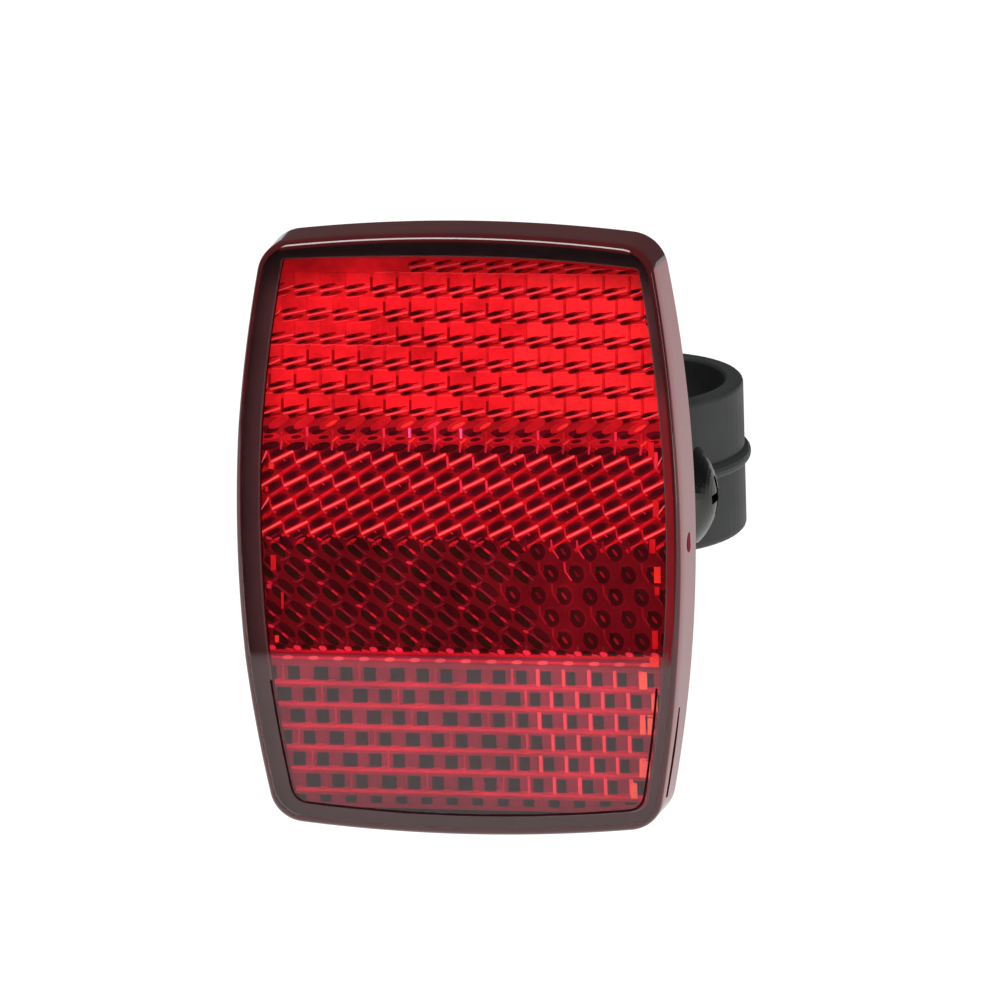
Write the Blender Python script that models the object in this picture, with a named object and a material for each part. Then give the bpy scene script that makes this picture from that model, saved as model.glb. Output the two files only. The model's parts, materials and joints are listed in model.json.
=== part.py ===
"""Bicycle rear reflector on a seat post clamp.

A red corner-cube lens with a black back cover, a bracket arm bolted behind it, and a
split clamp band. The arm ends in a tongue between the band's two ears, and one screw
closes the band on the post and holds the tilt of the reflector.

World frame: the origin is the middle of the clamp's bore, +Z runs up the post and the
reflector faces -Y. Sizes are in metres.

The reflector head has a frame of its own: X to the right, Z up, and Y from the plane of
the lens's front face backwards, with its origin in the middle of that face.
"""
import math

import bmesh
import bpy
from mathutils import Matrix, Vector

# Clamp band
BORE_RADIUS = 0.0137
BAND_WALL = 0.0027
BAND_HEIGHT = 0.0222
BAND_EDGE_RADIUS = 0.0008
BEAD_RADIUS = 0.0013
BEAD_PROUD = 0.0009
MOUTH_WIDTH = 0.0082
EAR_THICKNESS = 0.0046
EAR_RADIUS = 0.0071
EAR_EDGE = 0.00055
EAR_ROOT_INSET = 0.0019
PIVOT_BEYOND_BAND = 0.0050
BOSS_LENGTH = 0.0036
BOSS_STEP = 0.0003
BOSS_EDGE_RADIUS = 0.0010
NUT_EAR_EXTRA = 0.0016

# Clamp screw and its nut
CLAMP_SHANK_RADIUS = 0.0029
SCREW_HEAD_RADIUS = 0.0068
SCREW_HEAD_HEIGHT = 0.0032
SCREW_HEAD_RIM = 0.0004
RECESS_LENGTH = 0.0056
RECESS_WIDTH = 0.0013
RECESS_DEPTH = 0.0020
CLAMP_NUT_ACROSS = 0.0100
CLAMP_NUT_HEIGHT = 0.0048
SHANK_PROUD = 0.0010

# Reflector head: lens outline and shell
LENS_WIDTH = 0.0631
LENS_HEIGHT = 0.0860
SIDE_ARC_RADIUS = 0.2070
END_ARC_RADIUS = 0.2200
CORNER_RADIUS = 0.0050
LENS_DEPTH = 0.0120
DRAFT = math.radians(2.0)
FRONT_EDGE_RADIUS = 0.0011
LENS_WALL = 0.0020
SEAT_LIP = 0.0010
PLATE_THICKNESS = 0.0020
FACET_TILT = math.radians(5.5)
UPPER_FACET_HEIGHT = 0.0276
LOWER_FACET_HEIGHT = 0.0255

# Corner-cube prisms on the back of the lens plate
CUBE_PITCH = 0.0037
FIELD_SIDE_MARGIN = 0.0032
FIELD_TOP_MARGIN = 0.0033
FIELD_BOTTOM_MARGIN = 0.0049
FIELD_MIDDLE = -0.0003
ZONE_GROOVE = 0.0002
TOP_ROW_STRETCH = 1.10
PRISM_ROOT = 0.0005

# Back cover
COVER_THICKNESS = 0.0018
COVER_EDGE = 0.0002
COLLAR_HEIGHT = 0.0027
COLLAR_WALL = 0.0018
PAD_RECESS = 0.0006
COVER_RIB_WIDTH = 0.0012
COVER_RIB_HEIGHT = 0.0010
COVER_RIB_MARGIN = 0.0210
COVER_RIB_END_GAP = 0.0015

# Bracket arm, with the bolt that holds it on the cover
PIVOT_ABOVE_CENTRE = 0.0024
REST_LEAN = math.radians(4.5)
ARM_THICKNESS = 0.0036
ARM_END_RADIUS = 0.0090
ARM_EDGE = 0.0006
TONGUE_INSET = 0.0005
TONGUE_ROOT_INSET = 0.0010
BOLT_RADIUS = 0.0024
BOLT_HEAD_ACROSS = 0.0080
BOLT_HEAD_HEIGHT = 0.0030
BOLT_HEAD_EDGE = 0.0003
BOLT_PROUD = 0.0014
WASHER_RADIUS = 0.0050
WASHER_THICKNESS = 0.0010
ARM_NUT_ACROSS = 0.0080
ARM_NUT_HEIGHT = 0.0040

# Fits
GAP = 0.0003
HOLE_CLEARANCE = 0.00035
EAR_CLEARANCE = 0.0011
WASHER_CLEARANCE = 0.0013
OVERCUT = 0.0020
TIP_CHAMFER = 0.0005

# Smoothness of round shapes
BAND_STEPS = 64
HOLE_STEPS = 28
NUT_STEPS = 36
BOSS_STEPS = 40
ARM_STEPS = 16
CORNER_STEPS = 7
SIDE_STEPS = 5
END_STEPS = 8

BAND_RADIUS = BORE_RADIUS + BAND_WALL
PIVOT_REACH = BAND_RADIUS + PIVOT_BEYOND_BAND
EAR_ROOT_HALF_HEIGHT = BAND_HEIGHT / 2 - EAR_ROOT_INSET
TONGUE_WIDTH = MOUTH_WIDTH - 2 * GAP
TONGUE_RADIUS = EAR_RADIUS - TONGUE_INSET
TONGUE_ROOT_HALF_HEIGHT = ARM_END_RADIUS - TONGUE_ROOT_INSET
EAR_OUTSIDE = MOUTH_WIDTH / 2 + EAR_THICKNESS
SCREW_EAR_FACE = EAR_OUTSIDE + BOSS_LENGTH
NUT_EAR_FACE = EAR_OUTSIDE + NUT_EAR_EXTRA

UPPER_CREASE = LENS_HEIGHT / 2 - UPPER_FACET_HEIGHT
LOWER_CREASE = LOWER_FACET_HEIGHT - LENS_HEIGHT / 2
FIELD_TOP = LENS_HEIGHT / 2 - FIELD_TOP_MARGIN
FIELD_BOTTOM = FIELD_BOTTOM_MARGIN - LENS_HEIGHT / 2
COVER_INNER = LENS_DEPTH - COVER_THICKNESS
ARM_FRONT = LENS_DEPTH - PAD_RECESS + GAP
ARM_BACK = ARM_FRONT + ARM_THICKNESS
PIVOT_BEHIND_FRONT = ARM_BACK + EAR_RADIUS + EAR_CLEARANCE
HEAD_OFFSET = NUT_EAR_FACE + SHANK_PROUD + WASHER_RADIUS + WASHER_CLEARANCE

# Turns of a shape drawn along Z: its axis goes to X, to the back, or its own Y goes up
AXIS_X = Matrix.Rotation(math.radians(90), 4, "Y")
AXIS_Y = Matrix.Rotation(math.radians(-90), 4, "X")
STAND_UP = Matrix.Rotation(math.radians(90), 4, "X")


def clear_scene():
    for old in list(bpy.data.objects):
        bpy.data.objects.remove(old, do_unlink=True)


def material(name, colour, roughness, metallic=0.0):
    mat = bpy.data.materials.new(name)
    mat.use_nodes = True
    shader = mat.node_tree.nodes["Principled BSDF"]
    shader.inputs["Base Color"].default_value = (*colour, 1.0)
    shader.inputs["Roughness"].default_value = roughness
    shader.inputs["Metallic"].default_value = metallic
    mat.diffuse_color = (*colour, 1.0)
    return mat


def red_acrylic():
    return material("red_acrylic", (0.45, 0.008, 0.015), 0.08)


def black_abs():
    return material("black_abs", (0.012, 0.012, 0.013), 0.35)


def black_nylon():
    return material("black_nylon", (0.035, 0.038, 0.038), 0.45)


def zinc_steel():
    return material("zinc_steel", (0.55, 0.55, 0.53), 0.3, 1.0)


def make_object(name, mesh_builder, mat=None, parent=None):
    """Turn a bmesh into an object whose faces point outwards."""
    bmesh.ops.remove_doubles(mesh_builder, verts=mesh_builder.verts, dist=1e-7)
    bmesh.ops.recalc_face_normals(mesh_builder, faces=mesh_builder.faces)
    if mesh_builder.calc_volume(signed=True) < 0:
        bmesh.ops.reverse_faces(mesh_builder, faces=mesh_builder.faces)
    mesh = bpy.data.meshes.new(name)
    mesh_builder.to_mesh(mesh)
    mesh_builder.free()
    mesh.shade_smooth()
    mesh.set_sharp_from_angle(angle=math.radians(32))
    made = bpy.data.objects.new(name, mesh)
    bpy.context.collection.objects.link(made)
    made.parent = parent
    if mat is not None:
        made.data.materials.append(mat)
    return made


def boolean(target, tool, operation):
    """Join, cut or keep the common part with a helper shape that stays hidden."""
    tool.hide_render = True
    tool.display_type = "WIRE"
    modifier = target.modifiers.new(f"{operation.lower()}_{tool.name}", "BOOLEAN")
    modifier.operation = operation
    modifier.object = tool
    modifier.solver = "EXACT"


def circle_points(radius, steps, centre=(0.0, 0.0), start=0.0, end=2 * math.pi, closed=True):
    """Points on an arc; a closed one leaves its last point out."""
    count = steps if closed else steps + 1
    return [
        (
            centre[0] + radius * math.cos(start + (end - start) * i / steps),
            centre[1] + radius * math.sin(start + (end - start) * i / steps),
        )
        for i in range(count)
    ]


def hexagon_points(across_flats):
    return circle_points(across_flats / math.sqrt(3), 6)


def cross_points(length, width):
    """Cross with four equal arms, each a quarter turn from the last."""
    arm = [(length / 2, -width / 2), (length / 2, width / 2), (width / 2, width / 2)]
    points = []
    for _ in range(4):
        points += arm
        arm = [(-y, x) for x, y in arm]
    return points


def extrude_outline(outline, low, high, edge=0.0):
    """Extrude an XY outline along Z, with a small bevel round both ends."""
    builder = bmesh.new()
    base = builder.faces.new([builder.verts.new((x, y, low)) for x, y in outline])
    top = bmesh.ops.extrude_face_region(builder, geom=[base])
    raised = [v for v in top["geom"] if isinstance(v, bmesh.types.BMVert)]
    bmesh.ops.translate(builder, verts=raised, vec=(0, 0, high - low))
    if edge > 0:
        ends = [f for f in builder.faces if len(f.verts) == len(outline)]
        rim = list({e for f in ends for e in f.edges})
        bmesh.ops.bevel(builder, geom=rim, offset=edge, segments=2, profile=0.5, affect="EDGES")
    return builder


def turn_profile(profile, steps):
    """Spin a closed (radius, height) profile round Z into a ring."""
    builder = bmesh.new()
    points = [builder.verts.new((r, 0, z)) for r, z in profile]
    edges = [builder.edges.new((a, b)) for a, b in zip(points, points[1:] + points[:1])]
    bmesh.ops.spin(
        builder,
        geom=points + edges,
        cent=(0, 0, 0),
        axis=(0, 0, 1),
        angle=2 * math.pi,
        steps=steps,
        use_merge=True,
    )
    return builder


def bridge(builder, first, second):
    """Join two loops of as many points each with a band of faces."""
    count = len(first)
    for i in range(count):
        j = (i + 1) % count
        builder.faces.new((first[i], first[j], second[j], second[i]))


def turn_solid(profile, steps):
    """Revolve an open (radius, height) profile that ends in a flat disc at both ends."""
    builder = bmesh.new()
    loops = []
    for r, z in profile:
        loops.append([builder.verts.new((x, y, z)) for x, y in circle_points(r, steps)])
    for low, high in zip(loops, loops[1:]):
        bridge(builder, low, high)
    builder.faces.new(loops[0])
    builder.faces.new(loops[-1])
    return builder


def moved(builder, matrix):
    bmesh.ops.transform(builder, matrix=matrix, verts=builder.verts)
    return builder


def cylinder_tool(name, radius, low, high, matrix, parent, steps=HOLE_STEPS):
    builder = extrude_outline(circle_points(radius, steps), low, high)
    return make_object(name, moved(builder, matrix), parent=parent)


def round_edge(radius_out, z_edge, fillet, upward):
    """Quarter fillet from the outer wall to an end face, as (radius, height) points."""
    sign = 1 if upward else -1
    points = []
    for i in range(4):
        a = math.radians(30 * i)
        points.append(
            (
                radius_out - fillet + fillet * math.cos(a),
                z_edge - sign * (fillet - fillet * math.sin(a)),
            )
        )
    return points if upward else points[::-1]


def lug_outline(radius, root_distance, root_half_height, steps=20):
    """Round-ended lug: a disc at the origin drawn out to a taller root at +X."""
    corner = Vector((root_distance, root_half_height))
    to_corner = math.atan2(corner.y, corner.x)
    tangent = to_corner + math.acos(min(1.0, radius / corner.length))
    arc = circle_points(radius, steps, start=tangent, end=2 * math.pi - tangent, closed=False)
    return [(corner.x, corner.y)] + arc + [(corner.x, -corner.y)]


def lug(outline, low_x, high_x, edge):
    """Stand a lug outline up so that it is extruded along X and its root points to +Y."""
    builder = extrude_outline(outline, low_x, high_x, edge)
    upright = Matrix(((0, 0, 1, 0), (1, 0, 0, 0), (0, 1, 0, 0), (0, 0, 0, 1)))
    return moved(builder, upright)


def hex_nut(across, height, bore):
    """Hexagon nut along Z with both rims chamfered, as a closed ring."""
    corner = across / math.sqrt(3)
    chamfer = 0.45 * (corner - across / 2)
    builder = bmesh.new()
    loops = []
    inner = circle_points(bore, NUT_STEPS)
    for z, inset in ((0, True), (chamfer, False), (height - chamfer, False), (height, True)):
        ring = []
        for i in range(NUT_STEPS):
            angle = 2 * math.pi * i / NUT_STEPS
            sector = (angle % (math.pi / 3)) - math.pi / 6
            flat = across / 2 / math.cos(sector)
            reach = min(flat, across / 2 + chamfer * 0.2) if inset else flat
            ring.append(builder.verts.new((reach * math.cos(angle), reach * math.sin(angle), z)))
        loops.append(ring)
    loops.append([builder.verts.new((x, y, height)) for x, y in inner])
    loops.append([builder.verts.new((x, y, 0)) for x, y in inner])
    for first, second in zip(loops, loops[1:] + loops[:1]):
        bridge(builder, first, second)
    return builder


# Clamp band


def band_profile():
    """Section of the band: flat bore, rounded outer rims and the half-round bead."""
    half = BAND_HEIGHT / 2
    bead_centre = BAND_RADIUS + BEAD_PROUD - BEAD_RADIUS
    bead_half_angle = math.acos((BAND_RADIUS - bead_centre) / BEAD_RADIUS)
    bead = [
        (bead_centre + BEAD_RADIUS * math.cos(a), BEAD_RADIUS * math.sin(a))
        for a in [-bead_half_angle + bead_half_angle * i / 3 for i in range(7)]
    ]
    lower = round_edge(BAND_RADIUS, -half, BAND_EDGE_RADIUS, upward=False)
    upper = round_edge(BAND_RADIUS, half, BAND_EDGE_RADIUS, upward=True)
    chamfer = BAND_EDGE_RADIUS * 0.5
    bore_side = [
        (BORE_RADIUS + chamfer, half),
        (BORE_RADIUS, half - chamfer),
        (BORE_RADIUS, -half + chamfer),
        (BORE_RADIUS + chamfer, -half),
    ]
    return lower + bead + upper + bore_side


def boss_profile(length):
    """Round boss on an ear's outer side, with a rounded outer edge."""
    radius = EAR_RADIUS - BOSS_STEP
    return [(radius, 0)] + round_edge(radius, length, BOSS_EDGE_RADIUS, upward=True)


def clamp_ear(name, side, face, root_distance, parent):
    """One ear: a tapered lug from the band with a round boss on its outer side."""
    outline = lug_outline(EAR_RADIUS, root_distance, EAR_ROOT_HALF_HEIGHT)
    plate = lug(outline, MOUTH_WIDTH / 2, EAR_OUTSIDE, EAR_EDGE)
    inside = EAR_OUTSIDE - EAR_THICKNESS / 2
    boss = moved(turn_solid(boss_profile(face - inside), BOSS_STEPS), AXIS_X)
    moved(boss, Matrix.Translation((inside, 0, 0)))
    place = Matrix.Translation((0, -PIVOT_REACH, 0)) @ Matrix.Diagonal((side, 1, 1, 1))
    ear = make_object(name, moved(plate, place), parent=parent)
    boss_tool = make_object(name + "_boss", moved(boss, place), parent=parent)
    boolean(ear, boss_tool, "UNION")
    tall = EAR_ROOT_HALF_HEIGHT + OVERCUT
    mid_wall = BORE_RADIUS + BAND_WALL / 2
    boolean(ear, cylinder_tool(name + "_bore", mid_wall, -tall, tall, Matrix(), parent), "DIFFERENCE")
    return ear


def clamp_band(parent):
    """Split ring with the two ears, the screw's hole and the nut's pocket.

    An ear's root stands where its outer side meets the bore, well inside the wall.
    """
    band = make_object("clamp_band", turn_profile(band_profile(), BAND_STEPS), black_nylon(), parent)
    root = PIVOT_REACH - math.sqrt(BORE_RADIUS**2 - EAR_OUTSIDE**2)
    boolean(band, clamp_ear("screw_ear", 1, SCREW_EAR_FACE, root, parent), "UNION")
    boolean(band, clamp_ear("nut_ear", -1, NUT_EAR_FACE, root, parent), "UNION")
    tall = BAND_HEIGHT / 2 + OVERCUT
    half = MOUTH_WIDTH / 2
    front = -(PIVOT_REACH + EAR_RADIUS + OVERCUT)
    mouth_outline = [(-half, front), (half, front), (half, -BORE_RADIUS / 2), (-half, -BORE_RADIUS / 2)]
    mouth = make_object("mouth_cut", extrude_outline(mouth_outline, -tall, tall), parent=parent)
    boolean(band, mouth, "DIFFERENCE")
    on_pivot = Matrix.Translation((0, -PIVOT_REACH, 0)) @ AXIS_X
    far = SCREW_EAR_FACE + OVERCUT
    hole_radius = CLAMP_SHANK_RADIUS + HOLE_CLEARANCE
    hole = cylinder_tool("screw_hole", hole_radius, -far, far, on_pivot, parent)
    boolean(band, hole, "DIFFERENCE")
    pocket_floor = -(NUT_EAR_FACE - CLAMP_NUT_HEIGHT - GAP)
    pocket = extrude_outline(hexagon_points(CLAMP_NUT_ACROSS + 2 * GAP), -far, pocket_floor)
    boolean(band, make_object("nut_pocket", moved(pocket, on_pivot), parent=parent), "DIFFERENCE")
    return band


def clamp_screw(parent):
    """Truss head screw with a cross recess; its head lies on the +X boss."""
    seat = SCREW_EAR_FACE + GAP
    tip = -(NUT_EAR_FACE + SHANK_PROUD)
    head_top = seat + SCREW_HEAD_HEIGHT
    dome_height = SCREW_HEAD_HEIGHT - SCREW_HEAD_RIM
    sphere = (SCREW_HEAD_RADIUS**2 + dome_height**2) / (2 * dome_height)
    widest = math.asin(SCREW_HEAD_RADIUS / sphere)
    dome = [
        (sphere * math.sin(a), head_top - sphere * (1 - math.cos(a)))
        for a in [widest * (1 - i / 8) for i in range(8)]
    ]
    profile = [
        (CLAMP_SHANK_RADIUS - TIP_CHAMFER, tip),
        (CLAMP_SHANK_RADIUS, tip + TIP_CHAMFER),
        (CLAMP_SHANK_RADIUS, seat),
        (SCREW_HEAD_RADIUS, seat),
    ] + dome
    on_pivot = Matrix.Translation((0, -PIVOT_REACH, 0)) @ AXIS_X
    turned = moved(turn_solid(profile, BOSS_STEPS), on_pivot)
    screw = make_object("clamp_screw", turned, zinc_steel(), parent)
    recess = extrude_outline(
        cross_points(RECESS_LENGTH, RECESS_WIDTH), head_top - RECESS_DEPTH, head_top + OVERCUT
    )
    boolean(screw, make_object("recess_cut", moved(recess, on_pivot), parent=parent), "DIFFERENCE")
    return screw


def clamp_nut(parent):
    nut = hex_nut(CLAMP_NUT_ACROSS, CLAMP_NUT_HEIGHT, CLAMP_SHANK_RADIUS + GAP)
    low = -NUT_EAR_FACE
    place = Matrix.Translation((low, -PIVOT_REACH, 0)) @ AXIS_X
    return make_object("clamp_nut", moved(nut, place), zinc_steel(), parent)


# Lens


def front_depth(z):
    """How far the front face lies behind the front plane at this height."""
    if z > UPPER_CREASE:
        return (z - UPPER_CREASE) * math.tan(FACET_TILT)
    if z < LOWER_CREASE:
        return (LOWER_CREASE - z) * math.tan(FACET_TILT)
    return 0.0


def barrel_outline(inset):
    """Barrel outline moved inwards by inset: bowed sides and ends, with round corners.

    The points run anticlockwise from the lower end of the right side, and both creases
    have a point on each side, so that the flat facets meet in straight lines.
    """
    side_centre = LENS_WIDTH / 2 - SIDE_ARC_RADIUS
    end_centre = LENS_HEIGHT / 2 - END_ARC_RADIUS
    side = SIDE_ARC_RADIUS - inset
    end = END_ARC_RADIUS - inset
    corner = max(CORNER_RADIUS - inset, CORNER_RADIUS * 0.3)
    # the corner arc touches both long arcs from inside
    to_side = side - corner
    to_end = end - corner
    span = math.hypot(side_centre, end_centre)
    along = (to_side**2 - to_end**2 + span**2) / (2 * span)
    across = math.sqrt(to_side**2 - along**2)
    toward = Vector((-side_centre, end_centre)) / span
    normal = Vector((-toward.y, toward.x))
    centre = Vector((side_centre, 0)) + toward * along + normal * across
    if centre.x < 0 or centre.y < 0:
        centre = Vector((side_centre, 0)) + toward * along - normal * across
    side_angle = math.atan2(centre.y, centre.x - side_centre)
    end_angle = math.atan2(centre.y - end_centre, centre.x)
    side_top = side * math.sin(side_angle)

    def on_side(z):
        return (side_centre + math.sqrt(side**2 - z**2), z)

    def spread(low, high, steps):
        return [low + (high - low) * i / steps for i in range(steps)]

    heights = spread(-side_top, LOWER_CREASE, SIDE_STEPS)
    heights += spread(LOWER_CREASE, UPPER_CREASE, SIDE_STEPS + 1)
    heights += spread(UPPER_CREASE, side_top, SIDE_STEPS)
    right = [on_side(z) for z in heights]
    upper_right = circle_points(corner, CORNER_STEPS, centre, side_angle, end_angle)
    top = circle_points(end, END_STEPS, (0, end_centre), end_angle, math.pi - end_angle)
    upper_left = [(-x, z) for x, z in circle_points(corner, CORNER_STEPS, centre, end_angle, side_angle)]
    left = [(-x, z) for x, z in reversed(right[1:] + [on_side(side_top)])]
    lower_left = [(-x, -z) for x, z in upper_right]
    bottom = [(-x, -z) for x, z in top]
    lower_right = [(-x, -z) for x, z in upper_left]
    return right + upper_right + top + upper_left + left + lower_left + bottom + lower_right


def crease_points(loop, height):
    """The points of a loop that lie on a crease: the right one and the left one."""
    hits = [i for i, v in enumerate(loop) if abs(v.co.z - height) < 1e-6]
    hits.sort(key=lambda i: -loop[i].co.x)
    return hits[0], hits[-1]


def cap_facets(builder, loop):
    """Close a loop that follows the creased front with three flat faces."""
    low_right, low_left = crease_points(loop, LOWER_CREASE)
    up_right, up_left = crease_points(loop, UPPER_CREASE)
    count = len(loop)

    def run(start, stop):
        steps = (stop - start) % count
        return [loop[(start + i) % count] for i in range(steps + 1)]

    builder.faces.new(run(up_right, up_left))
    builder.faces.new(run(low_right, up_right) + run(up_left, low_left))
    builder.faces.new(run(low_left, low_right))


def lens_loop(builder, inset, depth_of):
    return [builder.verts.new((x, depth_of(z), z)) for x, z in barrel_outline(inset)]


def lens_shell():
    """Front plate with a skirt round it, open at the back, with a seat for the cover."""
    builder = bmesh.new()
    flare = math.tan(DRAFT)
    edge = FRONT_EDGE_RADIUS
    seat = COVER_INNER - GAP
    outer = [lens_loop(builder, -flare * LENS_DEPTH, lambda z: LENS_DEPTH)]
    for degrees in (0, 22.5, 45, 67.5, 90):
        a = math.radians(degrees)
        inset = edge - edge * math.cos(a)
        back = edge - edge * math.sin(a)
        outer.append(lens_loop(builder, inset, lambda z, back=back: front_depth(z) + back))
    inner = [
        lens_loop(builder, SEAT_LIP, lambda z: LENS_DEPTH),
        lens_loop(builder, SEAT_LIP, lambda z: seat),
        lens_loop(builder, LENS_WALL, lambda z: seat),
        lens_loop(builder, LENS_WALL + flare * seat, lambda z: front_depth(z) + PLATE_THICKNESS),
    ]
    for first, second in zip(outer, outer[1:]):
        bridge(builder, first, second)
    cap_facets(builder, outer[-1])
    bridge(builder, outer[0], inner[0])
    for first, second in zip(inner, inner[1:]):
        bridge(builder, first, second)
    cap_facets(builder, inner[-1])
    return builder


def cube_corner_field(low, high, stretch, flipped):
    """Corner-cube relief over a strip of the plate, drawn with depth along Y.

    The corners of the cubes make a lattice of equal triangles. Each corner takes one of
    three levels in turn, and every pair of triangles that shares a low-high edge is then
    one square side of a cube.
    """
    builder = bmesh.new()
    side = CUBE_PITCH / math.sqrt(3)
    level_step = CUBE_PITCH / math.sqrt(6)
    half_columns = math.ceil(LENS_WIDTH / CUBE_PITCH) + 1
    corners = {}

    def corner(i, j):
        if (i, j) not in corners:
            across = i * CUBE_PITCH / 2
            up = (i / 2 + j) * side * stretch
            level = (2 * i + j) % 3
            up = low + high - up if flipped else up
            corners[(i, j)] = builder.verts.new((across, PLATE_THICKNESS + level * level_step, up))
        return corners[(i, j)]

    row = side * stretch
    first_row = math.floor(low / row) - 1
    last_row = math.ceil(high / row) + 1
    for i in range(-half_columns, half_columns):
        for k in range(first_row, last_row):
            j = k - i // 2
            builder.faces.new((corner(i, j), corner(i + 1, j), corner(i, j + 1)))
            builder.faces.new((corner(i + 1, j), corner(i + 1, j + 1), corner(i, j + 1)))
    rim = [e for e in builder.edges if e.is_boundary]
    wall = bmesh.ops.extrude_edge_only(builder, edges=rim)
    for v in wall["geom"]:
        if isinstance(v, bmesh.types.BMVert):
            v.co.y = PLATE_THICKNESS - PRISM_ROOT
    base = [e for e in builder.edges if e.is_boundary]
    bmesh.ops.contextual_create(builder, geom=base)
    return builder


def zone_cutter(name, low, high, parent):
    """What one zone may fill: the field's barrel outline between two heights."""
    side_centre = LENS_WIDTH / 2 - SIDE_ARC_RADIUS
    side = SIDE_ARC_RADIUS - FIELD_SIDE_MARGIN
    heights = [low + (high - low) * i / SIDE_STEPS for i in range(SIDE_STEPS + 1)]
    right = [(side_centre + math.sqrt(side**2 - z**2), z) for z in heights]
    left = [(-x, z) for x, z in reversed(right)]
    builder = extrude_outline(right + left, -LENS_DEPTH, PLATE_THICKNESS)
    return make_object(name, moved(builder, STAND_UP), parent=parent)


def prism_zones():
    """The four bands of prisms: name, low end, high end, row stretch, flipped, crease."""
    groove = ZONE_GROOVE / 2
    return [
        ("top_prisms", UPPER_CREASE + groove, FIELD_TOP, TOP_ROW_STRETCH, False, UPPER_CREASE),
        ("upper_prisms", FIELD_MIDDLE + groove, UPPER_CREASE - groove, 1.0, True, None),
        ("lower_prisms", LOWER_CREASE + groove, FIELD_MIDDLE - groove, 1.0, False, None),
        ("bottom_prisms", FIELD_BOTTOM, LOWER_CREASE - groove, 1.0, True, LOWER_CREASE),
    ]


def prism_band(name, low, high, stretch, flipped, crease, parent):
    builder = cube_corner_field(low, high, stretch, flipped)
    if crease is not None:
        lean = -FACET_TILT if crease > 0 else FACET_TILT
        hinge = Matrix.Translation((0, 0, crease))
        moved(builder, hinge @ Matrix.Rotation(lean, 4, "X") @ hinge.inverted())
    band = make_object(name, builder, parent=parent)
    boolean(band, zone_cutter(name + "_limit", low, high, parent), "INTERSECT")
    return band


def reflector_lens(parent):
    lens = make_object("reflector_lens", lens_shell(), red_acrylic(), parent)
    for name, low, high, stretch, flipped, crease in prism_zones():
        boolean(lens, prism_band(name, low, high, stretch, flipped, crease, parent), "UNION")
    return lens


# Back cover, arm and bolt


def back_cover(parent):
    """Flat cover in the lens's seat, with a pad recess, a bolt collar and two ribs."""
    outline = barrel_outline(SEAT_LIP + GAP)
    builder = extrude_outline(outline, -LENS_DEPTH, -COVER_INNER, COVER_EDGE)
    cover = make_object("back_cover", moved(builder, STAND_UP), black_abs(), parent)
    collar_radius = BOLT_HEAD_ACROSS / math.sqrt(3) + COLLAR_WALL
    collar_low = COVER_INNER - COLLAR_HEIGHT
    inside = COVER_INNER + COVER_THICKNESS / 2
    boolean(cover, cylinder_tool("collar", collar_radius, collar_low, inside, AXIS_Y, parent), "UNION")
    rib_reach = LENS_WIDTH / 2 - LENS_WALL - COVER_RIB_END_GAP
    rib_height = LENS_HEIGHT / 2 - COVER_RIB_MARGIN
    for name, height in (("lower_rib", -rib_height), ("upper_rib", rib_height)):
        low = height - COVER_RIB_WIDTH / 2
        high = height + COVER_RIB_WIDTH / 2
        rib_outline = [(-rib_reach, low), (rib_reach, low), (rib_reach, high), (-rib_reach, high)]
        rib = extrude_outline(rib_outline, -inside, -(COVER_INNER - COVER_RIB_HEIGHT))
        boolean(cover, make_object(name, moved(rib, STAND_UP), parent=parent), "UNION")
    hexagon = hexagon_points(BOLT_HEAD_ACROSS + 2 * GAP)
    socket = moved(extrude_outline(hexagon, collar_low - OVERCUT, COVER_INNER), AXIS_Y)
    boolean(cover, make_object("collar_socket", socket, parent=parent), "DIFFERENCE")
    recess = extrude_outline(arm_outline(GAP), -(LENS_DEPTH + OVERCUT), -(LENS_DEPTH - PAD_RECESS))
    boolean(cover, make_object("pad_recess", moved(recess, STAND_UP), parent=parent), "DIFFERENCE")
    hole_radius = BOLT_RADIUS + HOLE_CLEARANCE
    hole_end = LENS_DEPTH + OVERCUT
    hole = cylinder_tool("cover_hole", hole_radius, COVER_INNER - OVERCUT, hole_end, AXIS_Y, parent)
    boolean(cover, hole, "DIFFERENCE")
    return cover


def arm_outline(margin):
    """Round-ended plate from the bolt to the tongue, in the head's XZ plane."""
    radius = ARM_END_RADIUS + margin
    end = Vector((HEAD_OFFSET, PIVOT_ABOVE_CENTRE))
    heading = math.atan2(end.y, end.x)
    quarter = math.pi / 2
    far = circle_points(radius, ARM_STEPS, end, heading - quarter, heading + quarter, closed=False)
    back = heading + math.pi
    near = circle_points(radius, ARM_STEPS, (0, 0), back - quarter, back + quarter, closed=False)
    return far + near


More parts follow.
